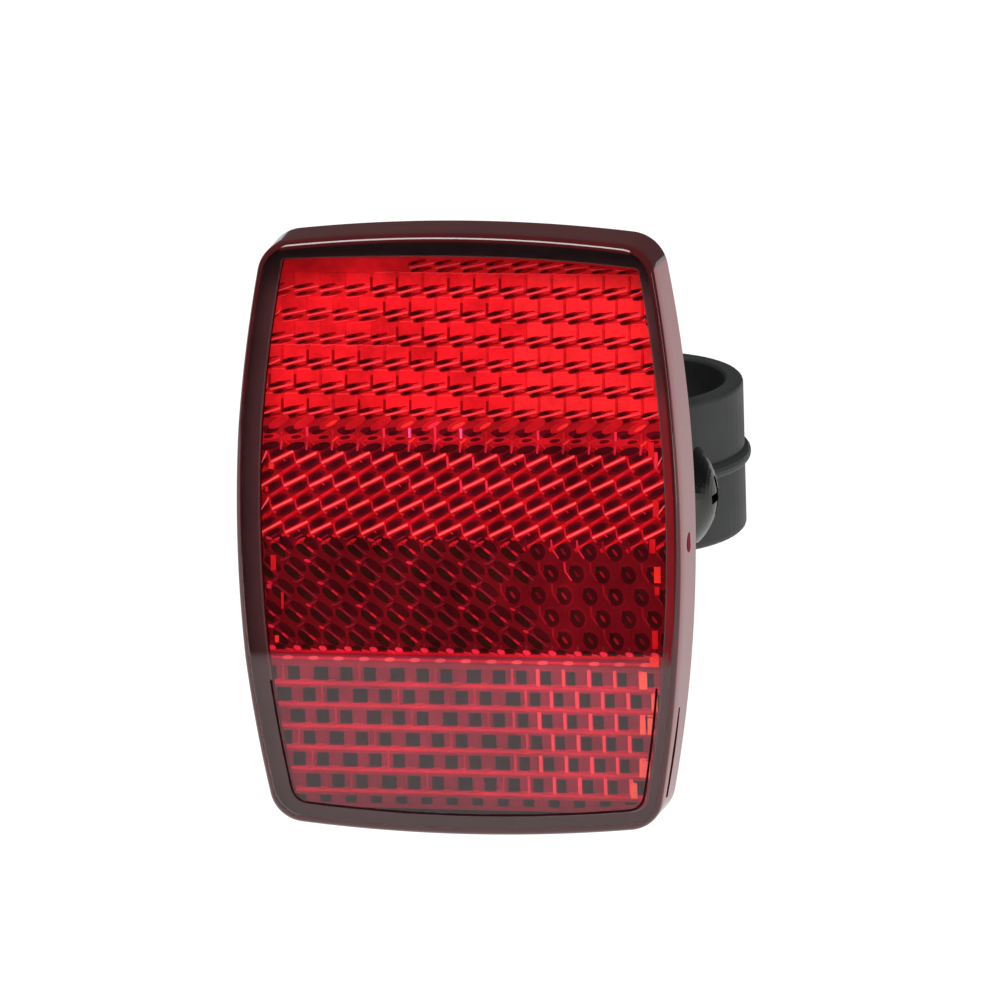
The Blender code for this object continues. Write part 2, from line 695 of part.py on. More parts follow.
def bracket_arm(parent):
    plate = moved(extrude_outline(arm_outline(0.0), -ARM_BACK, -ARM_FRONT, ARM_EDGE), STAND_UP)
    arm = make_object("bracket_arm", plate, black_nylon(), parent)
    root = PIVOT_BEHIND_FRONT - ARM_BACK + ARM_THICKNESS / 2
    outline = lug_outline(TONGUE_RADIUS, root, TONGUE_ROOT_HALF_HEIGHT)
    tongue = lug(outline, -TONGUE_WIDTH / 2, TONGUE_WIDTH / 2, ARM_EDGE)
    turn_forward = Matrix.Diagonal((1, -1, 1, 1))
    at_pivot = Matrix.Translation((HEAD_OFFSET, PIVOT_BEHIND_FRONT, PIVOT_ABOVE_CENTRE))
    boolean(arm, make_object("arm_tongue", moved(tongue, at_pivot @ turn_forward), parent=parent), "UNION")
    pivot_radius = CLAMP_SHANK_RADIUS + HOLE_CLEARANCE
    wide = TONGUE_WIDTH / 2 + OVERCUT
    pivot_hole = cylinder_tool("pivot_hole", pivot_radius, -wide, wide, at_pivot @ AXIS_X, parent)
    boolean(arm, pivot_hole, "DIFFERENCE")
    bolt_radius = BOLT_RADIUS + HOLE_CLEARANCE
    low = ARM_FRONT - OVERCUT
    high = ARM_BACK + OVERCUT
    boolean(arm, cylinder_tool("arm_hole", bolt_radius, low, high, AXIS_Y, parent), "DIFFERENCE")
    return arm


def rear_bolt(parent):
    """Hexagon bolt held by the cover's collar, pointing backwards through the arm."""
    head_low = COVER_INNER - GAP - BOLT_HEAD_HEIGHT
    tip = ARM_BACK + 2 * GAP + WASHER_THICKNESS + ARM_NUT_HEIGHT + BOLT_PROUD
    profile = [
        (BOLT_RADIUS, head_low + BOLT_HEAD_HEIGHT / 2),
        (BOLT_RADIUS, tip - TIP_CHAMFER),
        (BOLT_RADIUS - TIP_CHAMFER, tip),
    ]
    shank = make_object("bolt_shank", moved(turn_solid(profile, HOLE_STEPS), AXIS_Y), parent=parent)
    hexagon = hexagon_points(BOLT_HEAD_ACROSS)
    head = extrude_outline(hexagon, head_low, head_low + BOLT_HEAD_HEIGHT, BOLT_HEAD_EDGE)
    bolt = make_object("rear_bolt", moved(head, AXIS_Y), zinc_steel(), parent)
    boolean(bolt, shank, "UNION")
    return bolt


def arm_washer(parent):
    low = ARM_BACK + GAP
    bore = BOLT_RADIUS + GAP
    bevel = WASHER_THICKNESS * 0.2
    profile = [
        (bore, low),
        (WASHER_RADIUS - bevel, low),
        (WASHER_RADIUS, low + bevel),
        (WASHER_RADIUS, low + WASHER_THICKNESS - bevel),
        (WASHER_RADIUS - bevel, low + WASHER_THICKNESS),
        (bore, low + WASHER_THICKNESS),
    ]
    ring = moved(turn_profile(profile, BOSS_STEPS), AXIS_Y)
    return make_object("arm_washer", ring, zinc_steel(), parent)


def arm_nut(parent):
    low = ARM_BACK + 2 * GAP + WASHER_THICKNESS
    nut = hex_nut(ARM_NUT_ACROSS, ARM_NUT_HEIGHT, BOLT_RADIUS + GAP)
    moved(nut, AXIS_Y @ Matrix.Translation((0, 0, low)))
    return make_object("arm_nut", nut, zinc_steel(), parent)


def head_frame():
    """Empty on the pivot, carrying the head's own frame at its rest lean."""
    pivot = bpy.data.objects.new("head_pivot", None)
    pivot.location = (0, -PIVOT_REACH, 0)
    pivot.rotation_euler = (-REST_LEAN, 0, 0)
    bpy.context.collection.objects.link(pivot)
    frame = bpy.data.objects.new("head_frame", None)
    frame.location = (-HEAD_OFFSET, -PIVOT_BEHIND_FRONT, -PIVOT_ABOVE_CENTRE)
    frame.parent = pivot
    bpy.context.collection.objects.link(frame)
    return frame


def build():
    clear_scene()
    clamp_band(None)
    clamp_screw(None)
    clamp_nut(None)
    head = head_frame()
    reflector_lens(head)
    back_cover(head)
    bracket_arm(head)
    rear_bolt(head)
    arm_washer(head)
    arm_nut(head)


build()
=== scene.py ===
# %% [markdown]
# A bicycle rear reflector on its seat post clamp. The real object is a red acrylic
# moulding with corner-cube prisms inside, a black cover behind it, and a nylon clamp.
# The frame holds every solid at its true size, and this lesson dresses them. Sizes here
# are in metres, and the head of the reflector has a frame of its own: X to the right,
# Z up, and Y from the front face's plane backwards.

import json
import math

import bmesh
import bpy
from mathutils import Matrix, Vector


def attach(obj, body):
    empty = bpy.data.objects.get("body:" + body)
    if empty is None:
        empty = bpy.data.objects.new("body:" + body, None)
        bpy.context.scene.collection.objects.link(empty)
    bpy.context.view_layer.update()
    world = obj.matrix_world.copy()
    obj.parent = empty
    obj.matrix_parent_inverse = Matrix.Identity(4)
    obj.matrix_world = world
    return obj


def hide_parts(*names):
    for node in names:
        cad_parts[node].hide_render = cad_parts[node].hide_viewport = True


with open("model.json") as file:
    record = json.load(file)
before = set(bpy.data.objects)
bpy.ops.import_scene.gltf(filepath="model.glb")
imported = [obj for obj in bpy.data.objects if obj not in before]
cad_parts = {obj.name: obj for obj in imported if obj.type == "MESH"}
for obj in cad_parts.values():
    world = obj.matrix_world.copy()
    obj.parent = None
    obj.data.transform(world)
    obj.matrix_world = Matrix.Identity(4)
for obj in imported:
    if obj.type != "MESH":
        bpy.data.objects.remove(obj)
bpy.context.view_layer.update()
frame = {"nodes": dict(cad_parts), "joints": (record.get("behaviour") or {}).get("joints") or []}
MM = 0.001

# %% [markdown]
# The reflector hangs on the clamp screw and leans back a little. Everything on it is
# drawn upright in the head's own frame first, because its outline is simple there, and
# is then carried to its place by one matrix about the screw's axis.

# %% The head's place
HEAD_LEAN = math.radians(4.5)
HEAD_TO_PIVOT = Vector((17.6, 23.5, 2.4)) * MM
PIVOT = Vector(frame["joints"][0]["pos_m"])
HEAD = (
    Matrix.Translation(PIVOT)
    @ Matrix.Rotation(-HEAD_LEAN, 4, "X")
    @ Matrix.Translation(-HEAD_TO_PIVOT)
)
print("middle of the front face:", [round(v / MM, 1) for v in HEAD.translation])

# %% [markdown]
# The camera stands a little to the right and above, far off with a long lens, as for a
# catalogue picture. Its angles are measured to the reflector's own face.

# %% Camera
CAMERA_AZIMUTH = math.radians(10.5)
CAMERA_ELEVATION = math.radians(11.5)
CAMERA_ROLL = math.radians(-1.1)
CAMERA_DISTANCE = 1016 * MM
CAMERA_AIM = Vector((6.3, 0, 6.0)) * MM
FOCAL_LENGTH = 262.4

toward = Vector((
    math.sin(CAMERA_AZIMUTH) * math.cos(CAMERA_ELEVATION),
    -math.cos(CAMERA_AZIMUTH) * math.cos(CAMERA_ELEVATION),
    math.sin(CAMERA_ELEVATION),
))
level = Vector((0, 0, 1)).cross(toward).normalized()
upright = toward.cross(level)
right = math.cos(CAMERA_ROLL) * level + math.sin(CAMERA_ROLL) * upright
up = math.cos(CAMERA_ROLL) * upright - math.sin(CAMERA_ROLL) * level
turn = Matrix((right, up, toward)).transposed().to_4x4()
camera_data = bpy.data.cameras.new("camera")
camera_data.lens = FOCAL_LENGTH
camera_data.sensor_width = 36
camera_data.clip_start = 0.01
camera = bpy.data.objects.new("camera", camera_data)
camera.matrix_world = HEAD @ Matrix.Translation(CAMERA_AIM + toward * CAMERA_DISTANCE) @ turn
bpy.context.collection.objects.link(camera)
bpy.context.scene.camera = camera
bpy.context.scene.view_settings.view_transform = "Standard"
print("camera at", [round(v / MM) for v in camera.matrix_world.translation])

# %% [markdown]
# A few small helpers carry all the materials. One turns an sRGB hex colour into the
# linear values that shaders work in, and one adds a node with its settings and links.
# The others add the few kinds of node that every material needs.

# %% Material helpers
NOISE_SPAN = (0.3, 0.7)
WHITE = (1, 1, 1, 1)


def linear(hex_colour):
    """An sRGB hex colour as linear red, green, blue and an alpha of 1."""
    values = [int(hex_colour[i : i + 2], 16) / 255 for i in (1, 3, 5)]
    return (*[v / 12.92 if v <= 0.04045 else ((v + 0.055) / 1.055) ** 2.4 for v in values], 1.0)


def new_tree(name, owner=None):
    """Empty node tree of a new material, or of the world."""
    holder = owner or bpy.data.materials.new(name)
    holder.use_nodes = True
    holder.node_tree.nodes.clear()
    return holder, holder.node_tree


def add_node(tree, kind, inputs=(), **settings):
    """Add a node, set its properties, and fill or link its input sockets."""
    made = tree.nodes.new(kind)
    for key, value in settings.items():
        setattr(made, key, value)
    for key, value in dict(inputs).items():
        if isinstance(value, bpy.types.NodeSocket):
            tree.links.new(value, made.inputs[key])
        else:
            made.inputs[key].default_value = value
    return made


def own_place(tree):
    """Where a point lies in its object's own frame."""
    return add_node(tree, "ShaderNodeTexCoord").outputs["Object"]


def combined(tree, operation, a, b):
    """Two values put together by one operation."""
    return add_node(tree, "ShaderNodeMath", {0: a, 1: b}, operation=operation).outputs[0]


def ranged(tree, value, low, high, start=0.0, end=1.0, **settings):
    """Value that goes from start to end while another goes from low to high."""
    inputs = {"Value": value, 1: low, 2: high, 3: start, 4: end}
    return add_node(tree, "ShaderNodeMapRange", inputs, **settings).outputs[0]


def noise(tree, size, detail, roughness=0.5):
    """Noise whose blotches are about this size."""
    inputs = {"Vector": own_place(tree), "Scale": 1 / size, "Detail": detail, "Roughness": roughness}
    return add_node(tree, "ShaderNodeTexNoise", inputs).outputs[0]


def colour_mix(tree, share, first, second, **settings):
    """Colour between two others."""
    inputs = {0: share, 6: first, 7: second}
    return add_node(tree, "ShaderNodeMix", inputs, data_type="RGBA", **settings).outputs[2]


def shader_mix(tree, share, first, second):
    """Surface between two others."""
    return add_node(tree, "ShaderNodeMixShader", {0: share, 1: first, 2: second}).outputs[0]


def opaque(tree, inputs):
    """Close a material with an opaque surface."""
    surface = add_node(tree, "ShaderNodeBsdfPrincipled", inputs)
    add_node(tree, "ShaderNodeOutputMaterial", {"Surface": surface.outputs[0]})


print("pure red is", [round(v, 3) for v in linear("#E01018")])

# %% [markdown]
# Acrylic is clear as glass and polished by its mould, so the eye sees through it and
# sees the surroundings in it, most at a grazing angle. The front of the lens mixes a
# see-through with a mirror by the Fresnel curve of acrylic, on its outer side only. A
# refracting glass was the other way, but its light is noisy and the prisms behind it
# bend out of shape.

# %% Clear acrylic
ACRYLIC_IOR = 1.49
MIRROR_ROUGHNESS = 0.03


def clear_red_acrylic():
    mat, tree = new_tree("clear_red_acrylic_moulded")
    mirror = add_node(tree, "ShaderNodeBsdfGlossy", {"Color": WHITE, "Roughness": MIRROR_ROUGHNESS})
    clear = add_node(tree, "ShaderNodeBsdfTransparent", {"Color": linear("#FFFAFA")})
    fresnel = add_node(tree, "ShaderNodeFresnel", {"IOR": ACRYLIC_IOR})
    side = add_node(tree, "ShaderNodeNewGeometry")
    outside = combined(tree, "SUBTRACT", 1.0, side.outputs["Backfacing"])
    share = combined(tree, "MULTIPLY", fresnel.outputs[0], outside)
    mixed = shader_mix(tree, share, clear.outputs[0], mirror.outputs[0])
    add_node(tree, "ShaderNodeOutputMaterial", {"Surface": mixed})
    return mat


CLEAR_RED = clear_red_acrylic()
print("made", CLEAR_RED.name)

# %% [markdown]
# Behind the clear front the acrylic is seen through its whole depth or against its
# prisms, and looks solid. Those faces share one recipe: a colour that wanders a little
# from prism to prism, a painted unevenness of light, because no two stand quite alike
# in the light. Inner faces have no gloss of their own, as the front takes it all. The
# outer walls are polished.

# %% Solid reds
PRISM_PITCH = 3.66 * MM
POLISH = {"roughness": 0.07, "specular": 0.5}


def wandering_colour(tree, colour, wander):
    """Colour input whose brightness changes over a few prisms."""
    blotches = noise(tree, 2 * PRISM_PITCH, 5.0, 0.75)
    level = ranged(tree, blotches, *NOISE_SPAN, 1 - wander, 1 + wander)
    return colour_mix(tree, 1.0, colour, level, blend_type="MULTIPLY")


def solid_acrylic(name, colour, wander=0.25, roughness=0.6, specular=0.0):
    """Coloured acrylic seen in depth."""
    mat, tree = new_tree(name)
    opaque(tree, {
        "Base Color": wandering_colour(tree, linear(colour), wander),
        "Roughness": roughness,
        "IOR": ACRYLIC_IOR,
        "Specular IOR Level": specular,
    })
    return mat


def prism_red(finish, colour, wander=0.25):
    """Red acrylic of the prisms and marks; on the prisms its colour is painted light and shade, named for
    what it paints.
    """
    return solid_acrylic(f"red_acrylic_{finish}", colour, wander)


SKIRT_RED = solid_acrylic("red_acrylic_polished_side", "#8A222A", wander=0.08, **POLISH)
# The darker copy paints shade on the rounded rim and on the top and bottom walls.
SKIRT_SHADED = solid_acrylic("red_acrylic_polished_painted_shade", "#441214", wander=0.15, **POLISH)
# The grey of the opening's inner bevel is a painted highlight.
EDGE_HIGHLIGHT = solid_acrylic("acrylic_inner_edge_painted_highlight", "#5A4646", wander=0.1)
# The dark of the gap round the prism field is painted shade.
GAP_SHADE = solid_acrylic("acrylic_gap_painted_shade", "#241416", wander=0.1)
print("made", SKIRT_RED.name, SKIRT_SHADED.name, EDGE_HIGHLIGHT.name, GAP_SHADE.name)

# %% [markdown]
# The flat rim round the prisms is nearly black, because the black cover lies behind it.
# It is darkest along the top and on the right shoulder, which is painted shade. Only on
# the right, beside the two middle zones, painted light stands for the light that comes in
# through the wall and turns it a deep clear red. Each shade has a place on the head
# where it starts, and a width over which it comes in.

# %% Rim
X_AXIS = 0
Z_AXIS = 2
RIM_RIGHT = (27 * MM, 3 * MM)
RIM_LIT = (-19 * MM, 2 * MM)
RIM_UNLIT = (16 * MM, 8 * MM)
RIM_SHOULDER = (19 * MM, 5 * MM)
RIM_TOP = (33 * MM, 6 * MM)


def rim_acrylic():
    mat, tree = new_tree("red_acrylic_rim_painted_light_and_shade")
    axes = add_node(tree, "ShaderNodeSeparateXYZ", {0: own_place(tree)}).outputs

    def rising(axis, place):
        start = HEAD.translation[axis] + place[0]
        return ranged(tree, axes[axis], start, start + place[1])

    right = rising(X_AXIS, RIM_RIGHT)
    # band marks the painted light on the right, and black the painted shade at the top and shoulder.
    band = combined(tree, "SUBTRACT", rising(Z_AXIS, RIM_LIT), rising(Z_AXIS, RIM_UNLIT))
    shoulder = combined(tree, "MULTIPLY", rising(Z_AXIS, RIM_SHOULDER), right)
    black = combined(tree, "MAXIMUM", rising(Z_AXIS, RIM_TOP), shoulder)
    dark = colour_mix(tree, black, linear("#503436"), linear("#2A1E20"))
    colour = colour_mix(tree, combined(tree, "MULTIPLY", band, right), dark, linear("#8A1C26"))
    opaque(tree, {
        "Base Color": wandering_colour(tree, colour, 0.12),
        "Roughness": 0.5,
        "Specular IOR Level": 0.0,
    })
    return mat


RIM_RED = rim_acrylic()
print("made", RIM_RED.name)

# %% [markdown]
# The modelling helpers select in code what a hand would click: faces or edges by their
# place. Everything is deselected first, because an operator acts on all that is
# selected.

# %% Modelling helpers
def select_none():
    bpy.ops.object.select_all(action="DESELECT")


def only(piece):
    """Make one object the only selected one."""
    select_none()
    piece.select_set(True)
    bpy.context.view_layer.objects.active = piece


def open_with(piece, kind="FACE", test=lambda part: True):
    """Enter edit mode with just the faces or edges that pass a test selected."""
    only(piece)
    bpy.ops.object.mode_set(mode="EDIT")
    bpy.ops.mesh.select_mode(type=kind)
    bpy.ops.mesh.select_all(action="DESELECT")
    bpy.ops.object.mode_set(mode="OBJECT")
    for part in piece.data.polygons if kind == "FACE" else piece.data.edges:
        part.select = test(part)
    bpy.ops.object.mode_set(mode="EDIT")


def close_edit():
    bpy.ops.object.mode_set(mode="OBJECT")


def cut_with(piece, tool):
    """Cut a helper shape out of a piece, and delete the helper."""
    only(piece)
    step = piece.modifiers.new("cut", "BOOLEAN")
    step.operation = "DIFFERENCE"
    step.object = tool
    step.solver = "EXACT"
    bpy.ops.object.modifier_apply(modifier=step.name)
    bpy.data.objects.remove(tool, do_unlink=True)


def finish_piece(piece, name, body, smooth_angle=30):
    """Take a piece from the head's frame to its place, shade it, and let it ride."""
    only(piece)
    bpy.ops.object.transform_apply(location=True, rotation=True, scale=True)
    piece.data.transform(HEAD)
    piece.data.update()
    bpy.ops.object.shade_smooth_by_angle(angle=math.radians(smooth_angle))
    piece.name = name
    piece.data.name = name
    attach(piece, body)
    print(name, "has", len(piece.data.polygons), "faces")


# %% [markdown]
# The lens is a barrel in outline: its sides and ends are long arcs, and a small arc
# rounds each corner. One function gives that outline at any inset, so the front, the
# rim and the prism field all follow the same curves. The front face is flat in the
# middle and falls back above and below two creases.

# %% The barrel outline
LENS_WIDTH = 63.1 * MM
LENS_HEIGHT = 86.0 * MM
SIDE_ARC = 207 * MM
END_ARC = 220 * MM
CORNER = 5.0 * MM
LENS_DEPTH = 12.0 * MM
FACET_SLOPE = math.tan(math.radians(5.5))
UPPER_CREASE = 15.4 * MM
LOWER_CREASE = -17.5 * MM
CREASES = (LOWER_CREASE, UPPER_CREASE)
SIDE_CENTRE = LENS_WIDTH / 2 - SIDE_ARC
END_CENTRE = LENS_HEIGHT / 2 - END_ARC
ARC_STEPS = 14
CORNER_STEPS = 10
LEAST_CORNER = 0.3 * CORNER


def front_depth(z):
    """How far the creased front lies behind its plane."""
    return max(0, z - UPPER_CREASE, LOWER_CREASE - z) * FACET_SLOPE


def arc_points(centre, radius, start, end, steps):
    """Points along an arc, without its last one."""
    angles = [start + (end - start) * i / steps for i in range(steps)]
    return [(centre[0] + radius * math.cos(a), centre[1] + radius * math.sin(a)) for a in angles]


def quarter_outline(inset, corner):
    """From the middle of the right side up to the middle of the top."""
    reach = SIDE_ARC - inset - corner
    rise = END_ARC - inset - corner
    span = math.hypot(SIDE_CENTRE, END_CENTRE)
    along = (reach**2 - rise**2 + span**2) / (2 * span)
    across = math.sqrt(reach**2 - along**2)
    step = Vector((-SIDE_CENTRE, END_CENTRE)) / span
    centre = Vector((SIDE_CENTRE, 0)) + step * along + across * Vector((-step.y, step.x))
    side_angle = math.atan2(centre.y, centre.x - SIDE_CENTRE)
    end_angle = math.atan2(centre.y - END_CENTRE, centre.x)
    points = arc_points((SIDE_CENTRE, 0), SIDE_ARC - inset, 0, side_angle, ARC_STEPS)
    points += arc_points(centre, corner, side_angle, end_angle, CORNER_STEPS)
    points += arc_points((0, END_CENTRE), END_ARC - inset, end_angle, math.pi / 2, ARC_STEPS)
    return points + [(0, LENS_HEIGHT / 2 - inset)]


def barrel_outline(inset, top_corner=None):
    """Closed barrel outline; its corners shrink with the inset unless the top's are given."""
    corner = max(CORNER - inset, LEAST_CORNER)
    upper = quarter_outline(inset, top_corner or corner)
    lower = quarter_outline(inset, corner)
    half = upper + [(-x, z) for x, z in reversed(upper[:-1])]
    return half + [(-x, -z) for x, z in lower[1:]] + [(x, -z) for x, z in reversed(lower[1:-1])]


print("outline points:", len(barrel_outline(0)))

# %% [markdown]
# A barrel solid starts as a cylinder primitive. Its two rings of points go to the
# outline, it is bisected at the creases, and its ends follow the facets of the front.

# %% Barrel solids
TOUCH = 0.001 * MM


def barrel_solid(name, front_loop, back_loop, front, back, creases=(), creased_back=True):
    """Solid between two outlines at two depths behind the front's plane."""
    select_none()
    bpy.ops.mesh.primitive_cylinder_add(vertices=len(front_loop), radius=LENS_WIDTH / 2, depth=LENS_DEPTH)
    solid = bpy.context.object
    solid.name = name
    for index, vertex in enumerate(solid.data.vertices):
        loop, depth = (back_loop, back) if index % 2 else (front_loop, front)
        x, z = loop[index // 2]
        vertex.co = (x, depth, z)
    for height in creases:
        open_with(solid)
        bpy.ops.mesh.bisect(plane_co=(0, 0, height), plane_no=(0, 0, 1))
        close_edit()
    middle = (front + back) / 2
    for vertex in solid.data.vertices:
        if vertex.co.y < middle or creased_back:
            vertex.co.y += front_depth(vertex.co.z)
    open_with(solid)
    bpy.ops.mesh.normals_make_consistent(inside=False)
    close_edit()
    return solid


def bevel_front(piece, depth, width, segments, chosen=lambda x, z: True):
    """Round the edges of a piece's creased front where a test holds at both ends.

    The long lines of the creases, which run right across, are left sharp.
    """
    points = piece.data.vertices

    def on_edge(index):
        x, y, z = points[index].co
        return abs(y - front_depth(z) - depth) < TOUCH and chosen(x, z)

    def rim(edge):
        a, b = edge.vertices
        short = (points[a].co - points[b].co).length < LENS_WIDTH / 3
        return on_edge(a) and on_edge(b) and short

    open_with(piece, "EDGE", rim)
    bpy.ops.mesh.bevel(offset=width, segments=segments, profile=0.5, affect="EDGES")
    close_edit()


# %% [markdown]
# The front is a slab of acrylic with a rounded rim. Its facets are clear. Its rim and
# its narrow sides look solid, as light runs along the plate there and not across it:
# nearly black round the rim and on the top and bottom walls, which is painted shade,
# and lighter on the right and left walls.

# %% Front of the lens
FRONT_EDGE = 1.1 * MM
DRAFT = math.tan(math.radians(2.0))
SLAB_DEPTH = 4.0 * MM
FACING_FRONT = 0.97
FACING_SIDE = 0.93

lens_face = barrel_solid(
    "lens_face", barrel_outline(0), barrel_outline(-DRAFT * SLAB_DEPTH), 0, SLAB_DEPTH, CREASES
)
bevel_front(lens_face, 0, FRONT_EDGE, segments=5)
for mat in (CLEAR_RED, SKIRT_SHADED, SKIRT_RED):
    lens_face.data.materials.append(mat)
for face in lens_face.data.polygons:
    if abs(face.normal.y) < FACING_FRONT:
        face.material_index = 2 if abs(face.normal.x) > FACING_SIDE else 1
finish_piece(lens_face, "lens_face", "reflector")
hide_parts("reflector_lens")

# %% [markdown]
# The skirt is the lens's wall behind the front. Through the front its flat rim shows as
# a dark band round the prisms. It is a ring: a barrel solid with a second one cut out
# of it, and a ledge at the back where the cover sits. The opening's inner edge has a
# narrow bevel, coloured grey as a painted highlight for a thin line of light.

# %% Skirt
SEAM = 0.03 * MM
FIELD_SIDE = 2.6 * MM
FIELD_TOP = 39.2 * MM
FIELD_BOTTOM = -41.0 * MM
FIELD_TOP_CORNER = 0.6 * MM
FIELD_TOP_LIFT = 1.3 * MM
INNER_BEVEL = 0.18 * MM
COVER_SEAT = 9.9 * MM
SEAT_LIP = 1.0 * MM
FACING_RIM = -0.9
FACING_BEVEL = -0.3


def lift(x):
    """How far the field's upper edge runs above its arc, towards the left."""
    return FIELD_TOP_LIFT * min(0, x / (LENS_WIDTH / 2)) ** 2


def field_outline(inset):
    """Outline of the prism field: a barrel drawn in to the field's top and bottom."""
    loop = barrel_outline(FIELD_SIDE + inset, FIELD_TOP_CORNER)
    end = LENS_HEIGHT / 2 - FIELD_SIDE - inset
    top, bottom = FIELD_TOP - inset, inset - FIELD_BOTTOM
    return [(x, z / end * (top + lift(x) if z > 0 else bottom)) for x, z in loop]


def half_width(z):
    """Half the field's width at a height."""
    return SIDE_CENTRE + math.sqrt((SIDE_ARC - FIELD_SIDE) ** 2 - z**2)


def by_the_field(x, z):
    """True on the opening's edge, and false out on the lens's own outline."""
    edge = 0.3 * MM
    return abs(x) < half_width(z) + edge and FIELD_BOTTOM - edge < z < FIELD_TOP + edge


skirt_front = SLAB_DEPTH + SEAM
skirt = barrel_solid(
    "skirt", barrel_outline(-DRAFT * skirt_front), barrel_outline(-DRAFT * LENS_DEPTH),
    skirt_front, LENS_DEPTH, CREASES, False,
)
opening = field_outline(0)
cut_with(skirt, barrel_solid("opening", opening, opening, -LENS_DEPTH, 2 * LENS_DEPTH))
seat = barrel_outline(SEAT_LIP)
cut_with(skirt, barrel_solid("seat", seat, seat, COVER_SEAT, 2 * LENS_DEPTH, (), False))
bevel_front(skirt, skirt_front, INNER_BEVEL, segments=1, chosen=by_the_field)
for mat in (SKIRT_RED, RIM_RED, EDGE_HIGHLIGHT, SKIRT_SHADED):
    skirt.data.materials.append(mat)
for face in skirt.data.polygons:
    if face.normal.y < FACING_RIM:
        face.material_index = 1
    elif face.normal.y < FACING_BEVEL and by_the_field(face.center.x, face.center.z):
        face.material_index = 2
    elif abs(face.normal.x) < FACING_SIDE:
        face.material_index = 3
finish_piece(skirt, "lens_skirt", "reflector")

# %% [markdown]
# The prisms stand in four zones on one plate. Their colours are painted light and shade:
# the light that the prisms send back and the dark between them. Light that the top zone
# gathers comes back bright, so its prisms are painted as lit bricks. The two middle zones
# lie square to the eye and show their edges on a dark ground. The bottom zone leans the
# other way and shows a grid. The ground has a colour for each zone, also painted light,
# and one more for the strip by the upper crease, named with the height where it starts.
# A dark backing of painted shade closes the gap between the plate and the rim.

# %% Field plate
FIELD_DEPTH = 4.9 * MM
PLATE = 0.9 * MM
PLATE_INSET = 0.12 * MM
PLATE_BOTTOM_GAP = 0.6 * MM
SHADE_BACKING_REACH = 0.8 * MM
GROUND = {
    "bottom": (-42.0 * MM, "#8C1830"),
    "lower": (-17.4 * MM, "#660C14"),
    "upper": (-0.5 * MM, "#8E0B14"),
    "crease": (12.6 * MM, "#A4121C"),
    "top": (16.3 * MM, "#D21820"),
}

# The backing is a dark sheet of painted shade that shows in the gap round the plate.
backing = field_outline(-SHADE_BACKING_REACH)
plate_back = FIELD_DEPTH + PLATE
dark = barrel_solid("backing", backing, backing, plate_back + SEAM, plate_back + PLATE, CREASES)
dark.data.materials.append(GAP_SHADE)
finish_piece(dark, "field_shade_backing", "reflector")

loop = [(x, max(z, FIELD_BOTTOM + PLATE_BOTTOM_GAP)) for x, z in field_outline(PLATE_INSET)]
borders = [border for border, _ in GROUND.values()][1:]
plate = barrel_solid("plate", loop, loop, FIELD_DEPTH, plate_back, (*CREASES, *borders))
for zone, (_, colour) in GROUND.items():
    plate.data.materials.append(prism_red(f"{zone}_ground", colour))
for face in plate.data.polygons:
    face.material_index = sum(face.center.z > border for border in borders)
finish_piece(plate, "prism_plate", "reflector")

# %% [markdown]
# Every prism edge is a little ridge: a cube primitive stretched between two points,
# with its outer face drawn in and one end narrower where the light fades. A brick is
# the same with more area, and a round cell is a cylinder primitive treated in the same
# way. Squeezed, that becomes a leaf. Their places are in millimetres, to the right and
# up from a cell's own corner.

# %% Ridges, bricks and buttons
BUTTON_SIDES = 14
BUTTON_TOP = 0.85


def ridge(start, end, width, height, mat, taper=1.0, share=0.7):
    """Bar between two points of a cell, with the taper of its far end and outer face."""
    a, b = Vector(start), Vector(end)
    middle = (a + b) / 2 * MM
    select_none()
    bpy.ops.mesh.primitive_cube_add(size=1)
    bar = bpy.context.object
    bar.scale = ((b - a).length * MM, height * MM, width * MM)
    bpy.ops.object.transform_apply(location=False, rotation=False, scale=True)
    for vertex in bar.data.vertices:
        vertex.co.z *= (taper if vertex.co.x > 0 else 1) * (share if vertex.co.y < 0 else 1)
    bar.rotation_euler = (0, -math.atan2(b.y - a.y, b.x - a.x), 0)
    bar.location = (middle.x, -height * MM / 2, middle.y)
    bar.data.materials.append(mat)
    return bar


def brick(low, high, height, mat, share=0.9):
    """Low block between two corners of a cell."""
    middle = (low[1] + high[1]) / 2
    return ridge((low[0], middle), (high[0], middle), high[1] - low[1], height, mat, 1.0, share)


def button(centre, radius, height, mat, squeeze=1.0, turn=0.0):
    """Round or oval cell."""
    select_none()
    bpy.ops.mesh.primitive_cylinder_add(vertices=BUTTON_SIDES, radius=radius * MM, depth=height * MM)
    disc = bpy.context.object
    disc.rotation_euler = (math.radians(90), 0, 0)
    bpy.ops.object.transform_apply(location=False, rotation=True, scale=True)
    for vertex in disc.data.vertices:
        if vertex.co.y < 0:
            vertex.co *= BUTTON_TOP
    disc.scale = (1, 1, squeeze)
    disc.rotation_euler = (0, -turn, 0)
    disc.location = (centre[0] * MM, -height * MM / 2, centre[1] * MM)
    disc.data.materials.append(mat)
    return disc


def leaf(start, end, width, height, mat):
    """Pointed patch between two points of a cell."""
    a, b = Vector(start), Vector(end)
    length = (b - a).length
    return button((a + b) / 2, length / 2, height, mat, width / length, math.atan2(b.y - a.y, b.x - a.x))


def joined(parts):
    """Join parts into one object with its origin at zero, which is a cell's own corner."""
    select_none()
    for part in parts:
        part.select_set(True)
    bpy.context.view_layer.objects.active = parts[0]
    bpy.ops.object.transform_apply(location=True, rotation=True, scale=True)
    bpy.ops.object.join()
    return bpy.context.object


# %% [markdown]
# One cell is modelled for each look and copied over its zone, row by row downwards.
# Every second row stands half a pitch along, as cube corners interlock. What would
# reach over the field's edge is pressed back to it, like prisms cut off by the rim.

